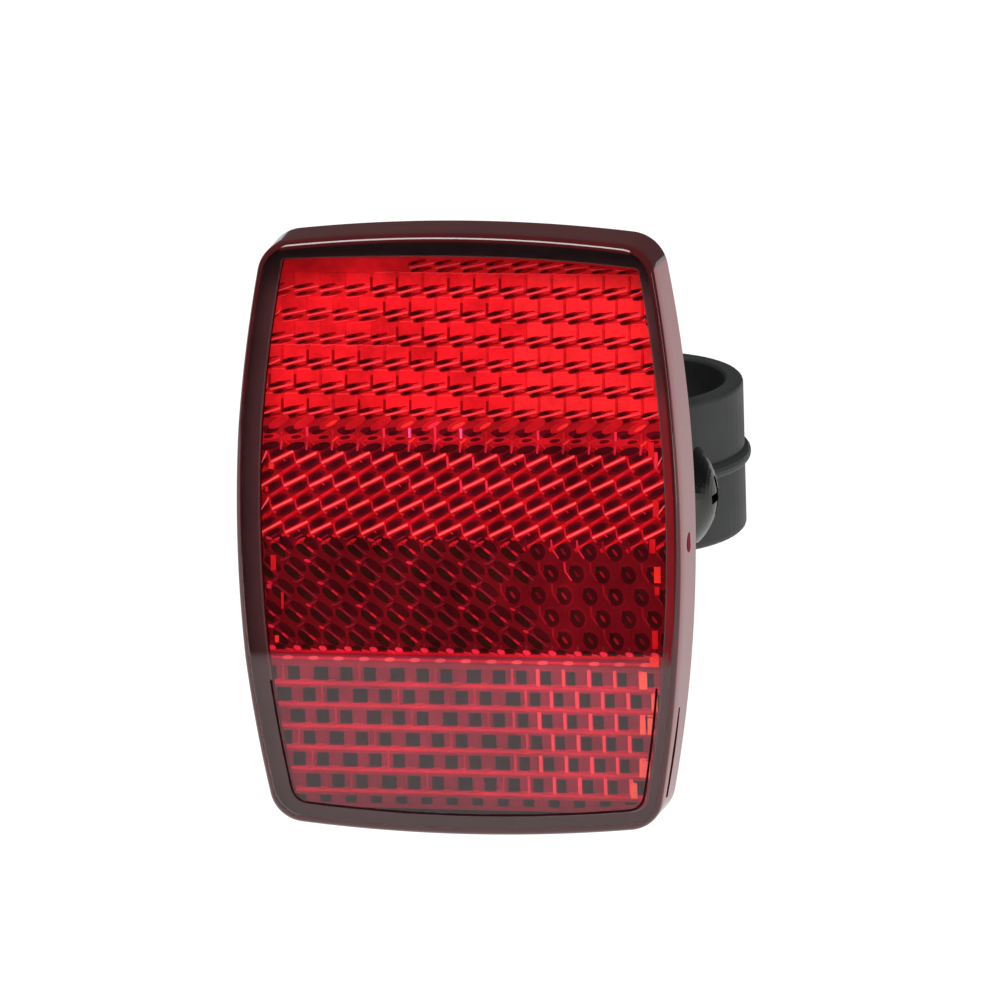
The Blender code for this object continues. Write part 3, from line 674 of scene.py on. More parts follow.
# %% Repeating a cell
FIELD_MARGIN = 0.15 * MM
CELL_OVERHANG = 0.35 * PRISM_PITCH
PRISM_SMOOTH = 10


def field_top(x):
    """Height of the field's upper edge."""
    end = LENS_HEIGHT / 2 - FIELD_SIDE
    return (END_CENTRE + math.sqrt((END_ARC - FIELD_SIDE) ** 2 - x**2)) / end * (FIELD_TOP + lift(x))


def press_in(piece):
    """Bring every point back inside the field."""
    for vertex in piece.data.vertices:
        x, _, z = vertex.co
        side = half_width(z) - FIELD_MARGIN
        x = max(-side, min(side, x))
        top = field_top(x)
        low = top / FIELD_TOP * FIELD_BOTTOM + PLATE_BOTTOM_GAP + FIELD_MARGIN
        vertex.co.x = x
        vertex.co.z = max(low, min(top - 3 * FIELD_MARGIN, z))


def repeat(name, cells, choose, first, pitch, rows, phase, lean=0.0):
    """Copy cells over rows, the first at a height and shifted along X by a phase."""
    copies = []
    for row in range(rows):
        z = first - row * pitch
        shift = phase + PRISM_PITCH / 2 * (row % 2)
        reach = half_width(z) + CELL_OVERHANG
        columns = math.ceil(reach / PRISM_PITCH) + 1
        for column in range(-columns, columns + 1):
            x = column * PRISM_PITCH + shift
            if abs(x + PRISM_PITCH / 2) > reach:
                continue
            cell = cells[choose(x, row, column) % len(cells)]
            made = cell.copy()
            made.data = cell.data.copy()
            made.location = (x, FIELD_DEPTH + front_depth(z), z)
            made.rotation_euler = (lean, 0, 0)
            bpy.context.collection.objects.link(made)
            copies.append(made)
    for cell in cells:
        bpy.data.objects.remove(cell, do_unlink=True)
    whole = joined(copies)
    press_in(whole)
    finish_piece(whole, name, "reflector", PRISM_SMOOTH)
    print(name, "cells:", len(copies))


def in_turn(x, row, column):
    """Take the cells in an order that doesn't repeat from row to row."""
    return column * 7 + row * 5


FACET_LEAN = math.atan(FACET_SLOPE)
print("facets lean", round(math.degrees(FACET_LEAN), 1), "degrees")

# %% [markdown]
# Top zone. Each brick is a prism side that sends light back, painted as a lit brick. A
# short bar of painted shadow stands at its left edge and a leaf of painted shadow slants
# under it. Below that run a painted bright line and the tip of one more leaf. Towards
# the upper left the leaves crowd together and have no bars, and the left part of the
# topmost row is bare. On the right the bricks are painted brighter and the bars fainter.

# %% Top zone
BRICK = prism_red("lit", "#E81C26", wander=0.3)
BRICK_DEEP = prism_red("lit_deep", "#DA1822", wander=0.35)
BRICK_BRIGHT = prism_red("lit_bright", "#F2282E", wander=0.25)
EDGE_LIGHT = prism_red("edge_light", "#FF424C", wander=0.15)
EDGE_FAINT = prism_red("edge_faint", "#F62E38", wander=0.2)
TICK = prism_red("shadow", "#400408", wander=0.3)
TICK_SOFT = prism_red("half_shadow", "#8A0810", wander=0.2)
STRAY = prism_red("stray_light", "#C41622", wander=0.3)
BARE_UP_TO = -8 * MM
CROWDED_ROWS = 4
CROWDED_UP_TO = -14 * MM
CROWDED_SLANT = 0.6 * MM
TOP_BRIGHT_FROM = 6 * MM


def top_cell(face, bar, reach, lean):
    return joined([
        brick((0.25, 0.35), (3.5, 2.35), 0.05, face),
        ridge((0.4, 2.42), (3.3, 2.52), 0.24, 0.08, EDGE_FAINT),
        ridge((0.0, 1.75), (0.0, 0.1), 0.36, 0.10, bar),
        leaf((-0.3, -0.1), (reach, 0.62 + lean), 0.74, 0.12, TICK_SOFT),
        leaf((-0.15, 0.0), (reach - 0.5, 0.5 + lean), 0.58, 0.15, TICK),
        ridge((reach - 0.7, 0.5 + lean), (3.1, 0.8 + lean), 0.26, 0.10, TICK_SOFT, 0.5),
        ridge((0.2, -0.42), (3.4, 0.36), 0.34, 0.13, EDGE_LIGHT),
        leaf((0.35, -0.95), (2.6, -0.4), 0.66, 0.13, TICK_SOFT),
        leaf((0.5, -0.9), (2.15, -0.5), 0.52, 0.16, TICK),
        ridge((2.2, -0.62), (3.5, -0.3), 0.28, 0.12, TICK_SOFT, 0.6),
    ])


def crowded_cell(face, reach):
    return joined([
        brick((0.1, 0.3), (3.6, 2.4), 0.05, face),
        leaf((-0.3, 0.15), (reach, 0.8), 0.50, 0.14, TICK_SOFT),
        leaf((0.0, 0.2), (reach - 1.2, 0.55), 0.46, 0.16, TICK),
        ridge((0.0, -0.3), (3.5, 0.45), 0.26, 0.13, EDGE_LIGHT),
        leaf((0.0, -0.85), (3.2, -0.25), 0.50, 0.15, TICK_SOFT),
        leaf((0.2, -0.8), (reach - 0.9, -0.4), 0.40, 0.16, TICK),
        ridge((0.1, -1.25), (2.4, -0.85), 0.20, 0.12, EDGE_FAINT),
    ])


def top_choice(x, row, column):
    if row == 0:
        return 6 if x < BARE_UP_TO else 5
    if row < CROWDED_ROWS and x < CROWDED_UP_TO + row * CROWDED_SLANT:
        return 4 + in_turn(x, row, column) % 2
    if x > TOP_BRIGHT_FROM:
        return 7 + in_turn(x, row, column) % 2
    return in_turn(x, row, column) % 4


top_cells = [
    top_cell(BRICK, TICK_SOFT, 2.3, 0.0),
    top_cell(BRICK, TICK_SOFT, 2.6, 0.1),
    top_cell(BRICK_DEEP, TICK_SOFT, 2.2, -0.05),
    top_cell(BRICK, STRAY, 2.4, 0.05),
    crowded_cell(BRICK, 2.9),
    crowded_cell(BRICK_DEEP, 2.4),
    brick((0.0, -1.0), (3.6, 1.0), 0.05, BRICK_DEEP),
    top_cell(BRICK_BRIGHT, STRAY, 2.1, -0.05),
    top_cell(BRICK_BRIGHT, BRICK_DEEP, 2.2, -0.1),
]
repeat("top_prisms", top_cells, top_choice, 37.76 * MM, 3.423 * MM, 7, 0.12 * MM, -FACET_LEAN)

# %% [markdown]
# Where the top zone meets the crease, its last row is cut through. Upright prism edges
# stand free there and glow in painted light, pink and red in turn in the middle of the
# lens, red or dull elsewhere. Painted shade marks the hollows between them and under them.

# %% Crease row
PINK_BAR = prism_red("pink_bar", "#FF5C9C", wander=0.15)
RED_BAR = prism_red("red_bar", "#F02C46", wander=0.2)
SPARK = prism_red("spark", "#F6322C", wander=0.25)
HOLLOW_SHADE = prism_red("hollow_shade", "#42080F", wander=0.4)
MURK = prism_red("murk", "#5C0A16", wander=0.4)
KNOT = prism_red("knot", "#D2223C", wander=0.4)
PINK_REACH = 6.5 * MM
PINK_MIDDLE = -3 * MM
UPRIGHT_MIDDLE = -2 * MM


def crease_cell(bar, wave, high, low, shift):
    return joined([
        leaf((0.3 + shift, 1.2), (3.0 + shift, 1.4), 1.1, 0.05, MURK),
        leaf((0.9 + shift, 0.8), (2.3 + shift, 1.2), 0.7, 0.07, HOLLOW_SHADE),
        leaf((-0.4, 0.0), (3.4, 0.35), 1.0, 0.06, STRAY),
        leaf((1.2 - shift, 0.1), (2.9 - shift, 0.4), 0.6, 0.08, MURK),
        leaf((0.5, -1.5), (3.3, -0.7), 1.1, 0.10, HOLLOW_SHADE),
        leaf((-2.0, 1.4), (1.2, 3.2), 1.3, 0.12, STRAY),
        leaf((-1.4 + shift, 1.7), (0.8, 2.8), 0.6, 0.14, wave),
        ridge((0.0, high), (0.02, low), 0.46, 0.16, bar, 0.8),
        ridge((-0.1, -0.3), (0.75, 0.35), 0.40, 0.15, wave, 0.7),
        ridge((0.1, 0.1), (1.0, -0.9), 0.30, 0.12, STRAY),
        ridge((-0.2, -1.6), (0.0, -0.3), 0.34, 0.12, KNOT),
    ])


def crease_choice(x, row, column):
    middle = abs(x - PINK_MIDDLE) < PINK_REACH
    return column % 2 if middle else 2 + in_turn(x, row, column) % 3


crease_cells = [
    crease_cell(PINK_BAR, SPARK, 1.8, 0.4, 0.0),
    crease_cell(RED_BAR, RED_BAR, 2.0, -0.2, 0.2),
    crease_cell(RED_BAR, STRAY, 1.7, 0.3, -0.3),
    crease_cell(STRAY, SPARK, 1.5, 0.0, 0.3),
    crease_cell(STRAY, STRAY, 1.0, 0.4, 0.0),
]
repeat("crease_prisms", crease_cells, crease_choice, 13.3 * MM, 3.4 * MM, 1, 0.0)

# %% [markdown]
# Upper middle zone. Only one edge of each prism catches the light, painted as a bright
# stroke that rises to the right. A dim edge drops from its end, and others lead to it
# from below. All between is dark, in painted shade. Under the pink bars a few prisms
# have an upright edge.

# %% Upper middle zone
STROKE = prism_red("bright_edge", "#FF5A60", wander=0.15)
STROKE_GLOW = prism_red("edge_glow", "#CA0E1A", wander=0.35)
DIM_EDGE = prism_red("dim_edge", "#CC1C2C", wander=0.3)


def upper_cell(length, extra):
    tip = (length, length * 0.5)
    return joined([
        ridge((1.1, -1.9), (3.8, -0.1), 0.60, 0.05, STROKE_GLOW, 0.7),
        ridge((-0.1, -0.1), (3.3, 1.6), 0.75, 0.07, STROKE_GLOW),
        leaf((0.55, -0.9), (3.4, 0.6), 1.25, 0.07, MURK),
        leaf((1.0, -0.6), (3.0, 0.5), 0.90, 0.09, HOLLOW_SHADE),
        leaf((-0.45, 0.8), (2.2, 2.1), 1.20, 0.07, MURK),
        leaf((0.1, 1.0), (1.9, 1.9), 0.85, 0.09, HOLLOW_SHADE),
        ridge((0.0, 0.0), tip, 0.40, 0.20, STROKE),
        ridge((3.35, 1.35), (3.5, 0.1), 0.28, 0.11, DIM_EDGE),
        ridge((1.7, -1.4), (2.8, -0.72), 0.34, 0.12, DIM_EDGE),
        ridge((0.0, -0.15), (0.5, -0.6), 0.36, 0.12, DIM_EDGE),
    ] + extra)


upper_cells = [
    upper_cell(3.1, []),
    upper_cell(3.25, [ridge((1.5, 0.7), (2.1, 0.2), 0.24, 0.15, DIM_EDGE)]),
    upper_cell(2.95, []),
    upper_cell(3.1, [ridge((-0.32, 1.2), (-0.25, -0.5), 0.40, 0.18, RED_BAR)]),
    upper_cell(3.1, [ridge((-0.32, 0.8), (-0.25, -0.6), 0.36, 0.18, DIM_EDGE)]),
]


def upper_choice(x, row, column):
    if row < 2 and abs(x - UPRIGHT_MIDDLE) < PINK_REACH:
        return 3 if x > PINK_MIDDLE else 4
    return in_turn(x, row, column) % 3


repeat("upper_prisms", upper_cells, upper_choice, 9.86 * MM, 3.36 * MM, 4, 2.0 * MM)

# %% [markdown]
# Lower middle zone. Here the eye looks down the prisms' corners, which are dark, and
# that dark is painted shade. On the left they are slits between falling lines, with small
# knots of painted light. On the right they widen to ovals with a red heart, and edges
# bend round them. One more row of spots glows along the lower crease, in painted light.

# %% Lower middle zone
WELL = prism_red("well", "#40090F", wander=0.45)
WELL_DEEP = prism_red("deep_well", "#300F0C", wander=0.45)
NET = prism_red("net", "#700A17", wander=0.4)
NET_DEEP = prism_red("net_deep", "#94101E", wander=0.35)
NET_LINE = prism_red("net_line", "#821828", wander=0.45)
OVALS_FROM = 8 * MM
OVALS_WAVE = 3 * MM
OVALS_TURN = 2.1
OVALS_BRIGHT = 15.5 * MM
OVALS_BRIGHT_REACH = 2.5 * MM


def slit_cell(knot, line, size, shift):
    return joined([
        leaf((0.3, 0.9), (2.7, -1.1), 1.20, 0.06, WELL),
        leaf((-0.6, -0.3), (1.6, -2.2), 1.15, 0.07, WELL_DEEP),
        ridge((-0.85, 0.2), (-0.7, -1.5), 0.50, 0.09, NET),
        ridge((-0.1, 0.1), (2.3, -1.85), 0.24, 0.13, NET_LINE, 1.2),
        ridge((0.6 + shift, -0.45 - 0.8 * shift), (1.4 + shift, -1.1 - 0.8 * shift), 0.34, 0.17, line),
        leaf((-0.95 - size, 0.5), (-0.6 + size, 0.45 - shift), 0.8 * size + 0.2, 0.16, knot),
        ridge((-0.6, 0.4), (0.45, 1.05), 0.30, 0.12, NET_LINE, 0.7),
    ])


def oval_cell(edge, heart):
    return joined([
        button((1.1, -0.8), 1.70, 0.04, NET, 0.86, 1.75),
        button((1.1, -0.8), 1.45, 0.07, WELL, 0.82, 1.75),
        leaf((0.2, 0.5), (1.5, -1.9), 1.0, 0.08, WELL_DEEP),
        leaf((0.7, -0.2), (1.5, -1.35), 0.46, 0.11, heart),
        ridge((-0.62, 0.9), (-0.5, -0.5), 0.34, 0.12, edge),
        ridge((-0.55, -0.4), (0.4, -1.75), 0.30, 0.12, edge, 0.8),
    ])


def lower_choice(x, row, column):
    if x > OVALS_FROM + OVALS_WAVE * math.sin(OVALS_TURN * row):
        bright = row < 2 and abs(x - OVALS_BRIGHT) < OVALS_BRIGHT_REACH
        return 6 if bright else 4 + in_turn(x, row, column) % 2
    return in_turn(x, row, column) % 4


lower_cells = [
    slit_cell(KNOT, DIM_EDGE, 0.35, 0.2),
    slit_cell(NET_LINE, NET_LINE, 0.2, 0.0),
    slit_cell(DIM_EDGE, NET_LINE, 0.25, 0.3),
    slit_cell(NET, DIM_EDGE, 0.3, 0.5),
    oval_cell(NET, NET),
    oval_cell(NET_DEEP, NET_DEEP),
    oval_cell(KNOT, NET),
]
repeat("lower_prisms", lower_cells, lower_choice, -1.45 * MM, 3.18 * MM, 5, 2.2 * MM)

spot_cell = joined([
    ridge((-1.83, -0.45), (1.83, -0.45), 0.42, 0.09, STRAY),
    leaf((-0.6, 0.2), (0.55, -0.15), 0.75, 0.16, RED_BAR),
    ridge((-1.7, -0.1), (-0.6, -0.35), 0.30, 0.12, KNOT, 1.3),
    leaf((0.5, 0.3), (1.9, 0.2), 0.60, 0.10, WELL_DEEP),
    ridge((-0.1, 0.2), (0.0, 1.1), 0.26, 0.12, NET_LINE),
])
repeat("crease_spots", [spot_cell], in_turn, -16.9 * MM, 3.2 * MM, 1, 1.5 * MM)

# %% [markdown]
# Bottom zone. This facet looks downwards, so the prisms are painted as dark blocks of
# shade between rose-red lines. On the left the uprights between them are dim or don't
# show. On the right they stand out as bright posts of painted light.

# %% Bottom zone
BLOCK = prism_red("block", "#2E1A1C", wander=0.35)
BLOCK_SIDE = prism_red("block_side", "#84162E", wander=0.35)
GRID_LINE = prism_red("grid_line", "#D01838", wander=0.25)
GRID_GLOW = prism_red("grid_glow", "#BA1032", wander=0.3)
GRID_POST = prism_red("grid_post", "#FF3A4E", wander=0.15)
BEAD = prism_red("bead", "#F04854", wander=0.2)
POSTS_FROM = 8.8 * MM


def bottom_cell(side, block, post, post_width, glow):
    parts = [
        ridge((0.0, 0.0), (3.66, 0.0), glow, 0.06, GRID_GLOW),
        ridge((0.0, 0.05), (3.66, -0.05), 0.36, 0.12, GRID_LINE, 0.8),
        brick((side[0], 0.42), (side[1], 2.72), 0.08, BLOCK_SIDE),
        brick((block[0], 0.48), (block[1], 2.62), 0.10, BLOCK),
        leaf((block[1] - 0.3, 0.35), (3.9, 0.5), 0.5, 0.11, GRID_GLOW),
    ]
    if post_width:
        parts.append(ridge((0.0, 0.3), (0.0, 2.8), post_width, 0.12, post))
    return joined(parts)


def bottom_choice(x, row, column):
    if x < POSTS_FROM - PRISM_PITCH:
        return in_turn(x, row, column) % 3
    return 3 if x < POSTS_FROM else 4 + in_turn(x, row, column) % 2


bottom_cells = [
    bottom_cell((0.1, 3.6), (0.9, 2.7), GRID_GLOW, 0, 0.75),
    bottom_cell((0.2, 3.5), (0.7, 2.4), GRID_GLOW, 0.25, 0.7),
    bottom_cell((0.1, 3.6), (0.8, 2.9), GRID_GLOW, 0, 0.8),
    bottom_cell((0.3, 3.3), (0.6, 2.1), KNOT, 0.42, 0.85),
    bottom_cell((0.38, 3.2), (0.42, 1.9), GRID_POST, 0.55, 0.95),
    bottom_cell((0.38, 3.1), (0.42, 1.7), GRID_POST, 0.48, 0.9),
]
repeat("bottom_prisms", bottom_cells, bottom_choice, -22.04 * MM, 3.194 * MM, 6, 2.95 * MM, FACET_LEAN)

last_cell = joined([
    brick((0.1, 1.5), (3.5, 2.75), 0.08, BLOCK_SIDE),
    brick((0.9, 1.5), (2.5, 2.65), 0.10, BLOCK),
])
repeat("bottom_edge_prisms", [last_cell], in_turn, -41.2 * MM, 3.2 * MM, 1, 2.95 * MM, FACET_LEAN)

bead_cell = joined([
    ridge((-1.83, 0.0), (1.83, 0.0), 0.40, 0.08, GRID_LINE),
    leaf((-0.9, -0.05), (0.8, 0.05), 0.62, 0.13, BEAD),
])
repeat("crease_beads", [bead_cell], in_turn, -18.3 * MM, 3.2 * MM, 1, 0.1 * MM, FACET_LEAN)

# %% [markdown]
# Along the field's right border the last prisms are cut off and pipe light to the eye,
# painted as mostly orange-red bars, one or two to each row of the bottom zone, and
# dimmer patches higher up. Small painted sparks do the same on the left. All sizes here
# are in millimetres.

# %% Border prisms
BORDER = prism_red("border_light", "#FF5A4C", wander=0.12)
BORDER_DIM = prism_red("border_dim", "#D01822", wander=0.3)
# height, distance from the field's edge, length, width and the material that paints each bar's light
RIGHT_BARS = (
    (-17.8, 1.2, 1.5, 1.4, SPARK),
    (-20.6, 2.6, 2.5, 1.2, BORDER),
    (-23.8, 0.75, 2.5, 0.95, BORDER),
    (-27.1, 2.1, 2.8, 0.85, BORDER),
    (-27.1, 0.95, 2.8, 1.0, BORDER),
    (-30.1, 0.8, 2.0, 1.2, BLOCK_SIDE),
    (-33.5, 0.95, 2.7, 1.8, BORDER),
    (-36.8, 2.1, 2.4, 0.95, BORDER),
    (12.5, 1.6, 2.2, 0.9, BORDER_DIM),
    (11.0, 1.0, 2.4, 0.5, RED_BAR),
    (4.2, 1.4, 2.4, 0.9, BORDER_DIM),
    (-1.2, 2.0, 2.0, 0.9, BORDER_DIM),
    (-5.3, 1.3, 2.3, 1.0, SPARK),
    (-7.6, 1.3, 1.2, 0.7, BORDER_DIM),
    (-14.6, 1.3, 2.6, 0.9, BORDER_DIM),
)
LEFT_SPARKS = (
    (9.4, 1.5, 1.0, 0.7, SPARK),
    (6.0, 0.9, 0.7, 0.5, BORDER_DIM),
    (-4.6, 1.6, 2.2, 0.8, BORDER_DIM),
    (-8.0, 0.8, 0.6, 0.7, KNOT),
    (-10.0, 2.6, 2.4, 0.4, BORDER_DIM),
    (-15.6, 1.3, 1.0, 0.6, SPARK),
)


def border_bar(side, z, back_off, length, width, mat):
    """Upright bar beside the field's edge, on the right with a side of 1."""
    x = side * (half_width(z * MM) / MM - back_off)
    bar = ridge((x, z - length / 2), (x, z + length / 2), width, 0.2, mat, 1.0, 0.9)
    bar.location.y += FIELD_DEPTH + front_depth(z * MM)
    return bar


bars = [border_bar(1, *bar) for bar in RIGHT_BARS] + [border_bar(-1, *bar) for bar in LEFT_SPARKS]
edge_bars = joined(bars)
press_in(edge_bars)
finish_piece(edge_bars, "border_prisms", "reflector", PRISM_SMOOTH)

# %% [markdown]
# Round the bottom zone the front facet has a fine step, where the field sinks in by
# a hair. The step itself is not modelled: a thin dark strip paints its shadow as a dark
# line along the field's sides and bottom, so it is laid where the camera's line of sight
# to the field's edge goes through the facet. Towards the right the sideways shift fades
# out.

# %% Painted shadow of the step round the bottom zone
STEP_START = LOWER_CREASE - 2 * MM
STEP_WIDTH = 0.34
STEP_HEIGHT = 0.03
STEP_OUT = 0.1 * MM
STEP_DARK = prism_red("step_shadow", "#240C10", wander=0.3)

loop = field_outline(-STEP_OUT)
pairs = [(a, b) for a, b in zip(loop, loop[1:] + loop[:1]) if max(a[1], b[1]) < STEP_START]
step = joined([
    ridge(Vector(a) / MM, Vector(b) / MM, STEP_WIDTH, STEP_HEIGHT, STEP_DARK, 1.0, 0.8) for a, b in pairs
])
for vertex in step.data.vertices:
    left_share = 0.5 - vertex.co.x / LENS_WIDTH
    vertex.co.x += FIELD_DEPTH * math.tan(CAMERA_AZIMUTH) * left_share
    vertex.co.z += FIELD_DEPTH * math.tan(CAMERA_ELEVATION)
    vertex.co.y += front_depth(vertex.co.z)
finish_piece(step, "field_step_shadow", "reflector")
print("step runs along", len(pairs), "stretches")

# %% [markdown]
# The right side of the skirt carries two marks of its mould: the round witness of the
# gate, and lower down a narrow slot where the cover's catch shows.

# %% Marks on the side
GATE_RADIUS = 1.4 * MM
GATE_DEPTH = 7.0 * MM
GATE_HEIGHT = -1.0 * MM
SLOT_DEPTH = 5.8 * MM
SLOT_HIGH = -24.5 * MM
SLOT_LOW = -37.5 * MM
SLOT_WIDTH = 1.2 * MM
SLOT_NARROWING = 0.6
MARK_PROUD = 0.03 * MM
SLOT_DARK = solid_acrylic("dark_slot", "#2A1414", wander=0.1)
GATE_RED = prism_red("gate_witness", "#8A3040", wander=0.2)


def wall_at(z, depth):
    """X of the skirt's right wall at a height and a depth behind the front."""
    return SIDE_CENTRE + math.sqrt(SIDE_ARC**2 - z**2) + DRAFT * depth


select_none()
bpy.ops.mesh.primitive_cylinder_add(vertices=24, radius=GATE_RADIUS, depth=2 * MARK_PROUD)
gate = bpy.context.object
gate.rotation_euler = (0, math.radians(90), 0)
gate.location = (wall_at(GATE_HEIGHT, GATE_DEPTH), GATE_DEPTH, GATE_HEIGHT)
gate.data.materials.append(GATE_RED)
finish_piece(gate, "gate_witness", "reflector")

select_none()
bpy.ops.mesh.primitive_cube_add(size=1)
slot = bpy.context.object
slot.data.materials.append(SLOT_DARK)
slot.scale = (2 * MARK_PROUD, SLOT_WIDTH, SLOT_HIGH - SLOT_LOW)
bpy.ops.object.transform_apply(location=False, rotation=False, scale=True)
open_with(slot)
bpy.ops.mesh.subdivide(number_cuts=7)
close_edit()
slot_middle = (SLOT_HIGH + SLOT_LOW) / 2
for vertex in slot.data.vertices:
    narrow = 1 - SLOT_NARROWING * abs(vertex.co.z) / (SLOT_HIGH - slot_middle)
    vertex.co.y = vertex.co.y * narrow + SLOT_DEPTH
    vertex.co.z += slot_middle
    vertex.co.x += wall_at(vertex.co.z, vertex.co.y)
finish_piece(slot, "catch_slot", "reflector")

# %% [markdown]
# The black parts. The clamp and the arm are nylon from a spark-eroded mould, whose fine
# grain spreads the light. The band is blacker inside its bore, in painted shade, where
# little light falls.
# The cover is ABS, a little smoother. The bolt, the washer and the nuts are steel with a
# bright zinc plating. The clamp screw's steel is darker, as a painted reflection of the
# dark surroundings in its polished head.

# %% Black plastics and steel
NYLON_BLACK = "#2B2E2C"
NYLON_GRAIN = 0.35 * MM
ABS_GRAIN = 0.25 * MM
GRAIN_STRENGTH = 0.35
BLOTCH_GRAINS = 20
ZINC_SPANGLE = 1.2 * MM
ZINC_ROUGHNESS = (0.16, 0.3)
BORE_RADIUS = 13.7 * MM
BORE_SHADE = (0.1 * MM, 0.5 * MM)
BORE_PAINTED_SHADE = "#151616"


def grained_plastic(name, colour, roughness, grain, depth, bore=None):
    """Plastic with the even grain of an eroded mould, with painted shade inside a bore's radius."""
    mat, tree = new_tree(name)
    shade = wandering_colour(tree, linear(colour), 0.1)
    if bore:
        place = own_place(tree)
        flat = add_node(tree, "ShaderNodeVectorMath", {0: place, 1: (1, 1, 0)}, operation="MULTIPLY")
        radius = add_node(tree, "ShaderNodeVectorMath", {0: flat.outputs[0]}, operation="LENGTH")
        outside = ranged(tree, radius.outputs["Value"], bore + BORE_SHADE[0], bore + BORE_SHADE[1])
        shade = colour_mix(tree, outside, linear(BORE_PAINTED_SHADE), shade)
    height = noise(tree, grain, 2.0)
    bump = add_node(tree, "ShaderNodeBump", {"Height": height, "Strength": GRAIN_STRENGTH, "Distance": depth})
    blotches = noise(tree, BLOTCH_GRAINS * grain, 3.0)
    opaque(tree, {
        "Base Color": shade,
        "Roughness": ranged(tree, blotches, *NOISE_SPAN, roughness - 0.05, roughness + 0.05),
        "IOR": 1.5,
        "Normal": bump.outputs[0],
    })
    return mat


def zinc_plated_steel(name, colour):
    mat, tree = new_tree(name)
    rough = ranged(tree, noise(tree, ZINC_SPANGLE, 3.0), *NOISE_SPAN, *ZINC_ROUGHNESS)
    opaque(tree, {"Base Color": linear(colour), "Metallic": 1.0, "Roughness": rough})
    return mat


NYLON = grained_plastic("black_nylon_moulded", NYLON_BLACK, 0.5, NYLON_GRAIN, 0.02 * MM)
BAND_NYLON = grained_plastic("black_nylon_band_painted_bore_shade", NYLON_BLACK, 0.5, NYLON_GRAIN, 0.02 * MM, BORE_RADIUS)
ABS = grained_plastic("black_abs_moulded", "#1C1C1D", 0.35, ABS_GRAIN, 0.01 * MM)
ZINC = zinc_plated_steel("zinc_plated_steel", "#B9B8B2")
ZINC_PAINTED_DARK = zinc_plated_steel("zinc_plated_steel_painted_dark_reflection", "#454543")
finishes = {
    "clamp_band": BAND_NYLON,
    "bracket_arm": NYLON,
    "back_cover": ABS,
    "clamp_screw": ZINC_PAINTED_DARK,
    "clamp_nut": ZINC,
    "rear_bolt": ZINC,
    "arm_washer": ZINC,
    "arm_nut": ZINC,
}
for node_name, mat in finishes.items():
    frame["nodes"][node_name].data.materials.clear()
    frame["nodes"][node_name].data.materials.append(mat)
print("dressed", len(finishes), "solids")

# %% [markdown]
# The picture is a cut-out on white, lit by soft boxes. The floor lies well below the
# part, and the camera sees it pure white. Mirror-like faces see it brightest close in
# front, softer behind, and dark far in front, as the studio's sweep ends there. That
# keeps the middle of the lens free of glare and puts a grey veil on the facet that
# looks down.

# %% Floor
FLOOR_Z = -0.115
SWEEP_END = -0.55
SWEEP_FADE = -0.38
SWEEP_DARK = 0.02
BACK_FADE = (-0.1, 0.2)
FRONT_GLOW = 1.4
BACK_GLOW = 0.75
WHITE_SHARE = 0.75
PAPER_WHITE = 1.18

select_none()
bpy.ops.mesh.primitive_plane_add(size=8, location=(0, 0, FLOOR_Z))
floor = bpy.context.object
floor.name = "floor"


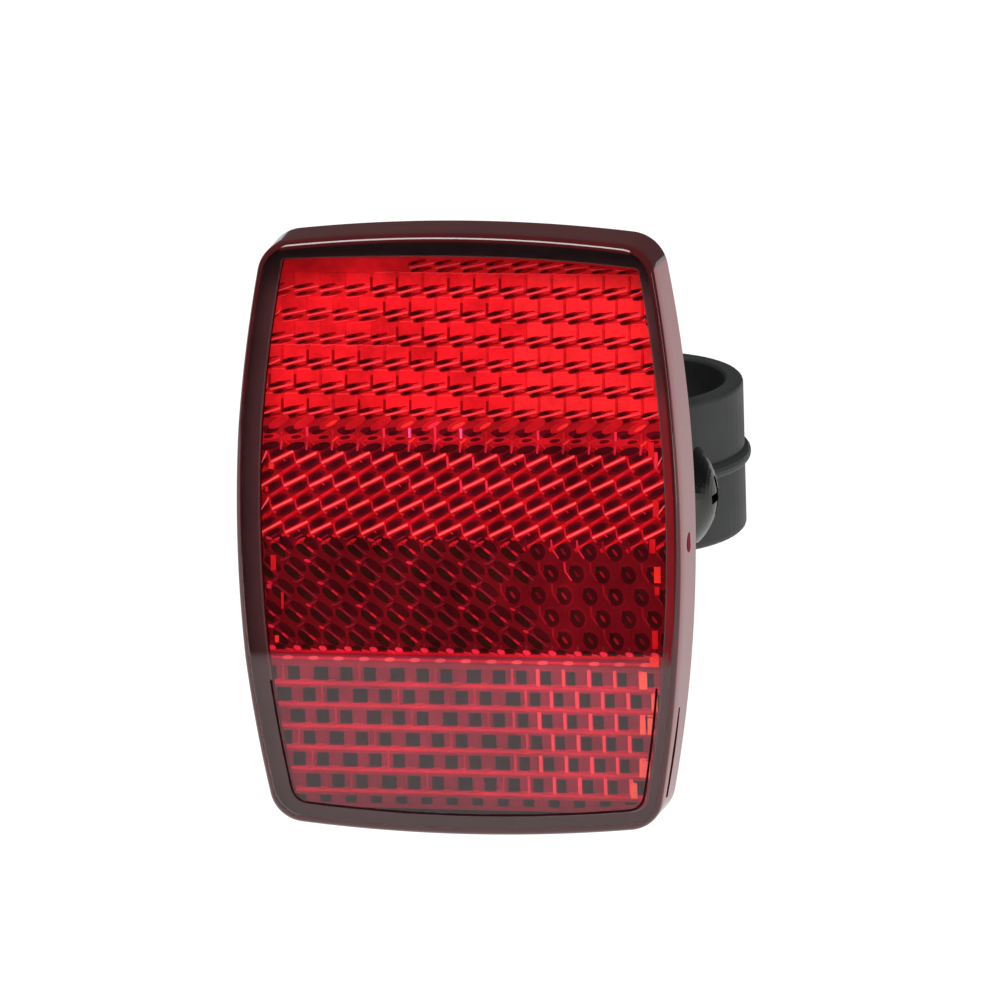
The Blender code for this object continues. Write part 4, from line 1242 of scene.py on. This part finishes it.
def studio_floor():
    mat, tree = new_tree("white_paper_sweep")
    path = add_node(tree, "ShaderNodeLightPath").outputs
    along = add_node(tree, "ShaderNodeSeparateXYZ", {0: own_place(tree)}).outputs["Y"]

    def glowing(strength):
        return add_node(tree, "ShaderNodeEmission", {"Color": WHITE, "Strength": strength}).outputs[0]

    near = ranged(tree, along, SWEEP_END, SWEEP_FADE, SWEEP_DARK, FRONT_GLOW)
    behind = ranged(tree, along, *BACK_FADE, 1.0, BACK_GLOW / FRONT_GLOW)
    matt = add_node(tree, "ShaderNodeBsdfDiffuse", {"Color": linear("#F4F4F4")})
    share = combined(tree, "MULTIPLY", path["Is Camera Ray"], WHITE_SHARE)
    shown = shader_mix(tree, share, matt.outputs[0], glowing(PAPER_WHITE))
    mirrored = glowing(combined(tree, "MULTIPLY", near, behind))
    paper = shader_mix(tree, path["Is Glossy Ray"], shown, mirrored)
    add_node(tree, "ShaderNodeOutputMaterial", {"Surface": paper})
    return mat


floor.data.materials.append(studio_floor())

# %% [markdown]
# The world stands for the studio's walls: white for the camera and soft for the light.
# For mirrors the walls are dim, so that polished faces show only the floor and the
# soft boxes.

# %% World
WORLD_LIGHT = 0.62
MIRROR_WALLS = 0.09
MIRROR_FRONT = 0.02
FRONT_TO_SIDE = (-0.9, -0.3)

world, tree = new_tree("studio_walls", bpy.data.worlds.new("studio_walls"))
bpy.context.scene.world = world
path = add_node(tree, "ShaderNodeLightPath").outputs
sight = add_node(tree, "ShaderNodeTexCoord").outputs["Generated"]
along = add_node(tree, "ShaderNodeSeparateXYZ", {0: sight}).outputs["Y"]
walls = ranged(
    tree, along, *FRONT_TO_SIDE, MIRROR_FRONT, MIRROR_WALLS, interpolation_type="SMOOTHSTEP"
)
soft = add_node(tree, "ShaderNodeMix", {0: path["Is Glossy Ray"], 2: WORLD_LIGHT, 3: walls})
shown = add_node(tree, "ShaderNodeMix", {0: path["Is Camera Ray"], 2: soft.outputs[0], 3: 1.0})
sky = add_node(tree, "ShaderNodeBackground", {"Color": WHITE, "Strength": shown.outputs[0]})
add_node(tree, "ShaderNodeOutputWorld", {"Surface": sky.outputs[0]})
print("world light", WORLD_LIGHT)

# %% [markdown]
# One large soft box hangs above and a little in front. It is the key light, and its
# reflection draws the bright line along the lens's upper edge. A narrow strip on the
# right draws the pale line down the right edge.

# %% Lamps
def soft_box(name, place, aim, width, height, power):
    data = bpy.data.lights.new(name, "AREA")
    data.shape = "RECTANGLE"
    data.size = width
    data.size_y = height
    data.energy = power
    lamp = bpy.data.objects.new(name, data)
    lamp.location = place
    lamp.rotation_euler = (Vector(aim) - Vector(place)).to_track_quat("-Z", "Y").to_euler()
    bpy.context.collection.objects.link(lamp)


soft_box("key_box", (-0.15, -0.55, 0.85), (0, 0, 0), width=0.6, height=0.3, power=8.0)
soft_box("right_strip", (0.75, -0.16, -0.02), (0, -0.04, 0), width=0.05, height=0.5, power=0.5)
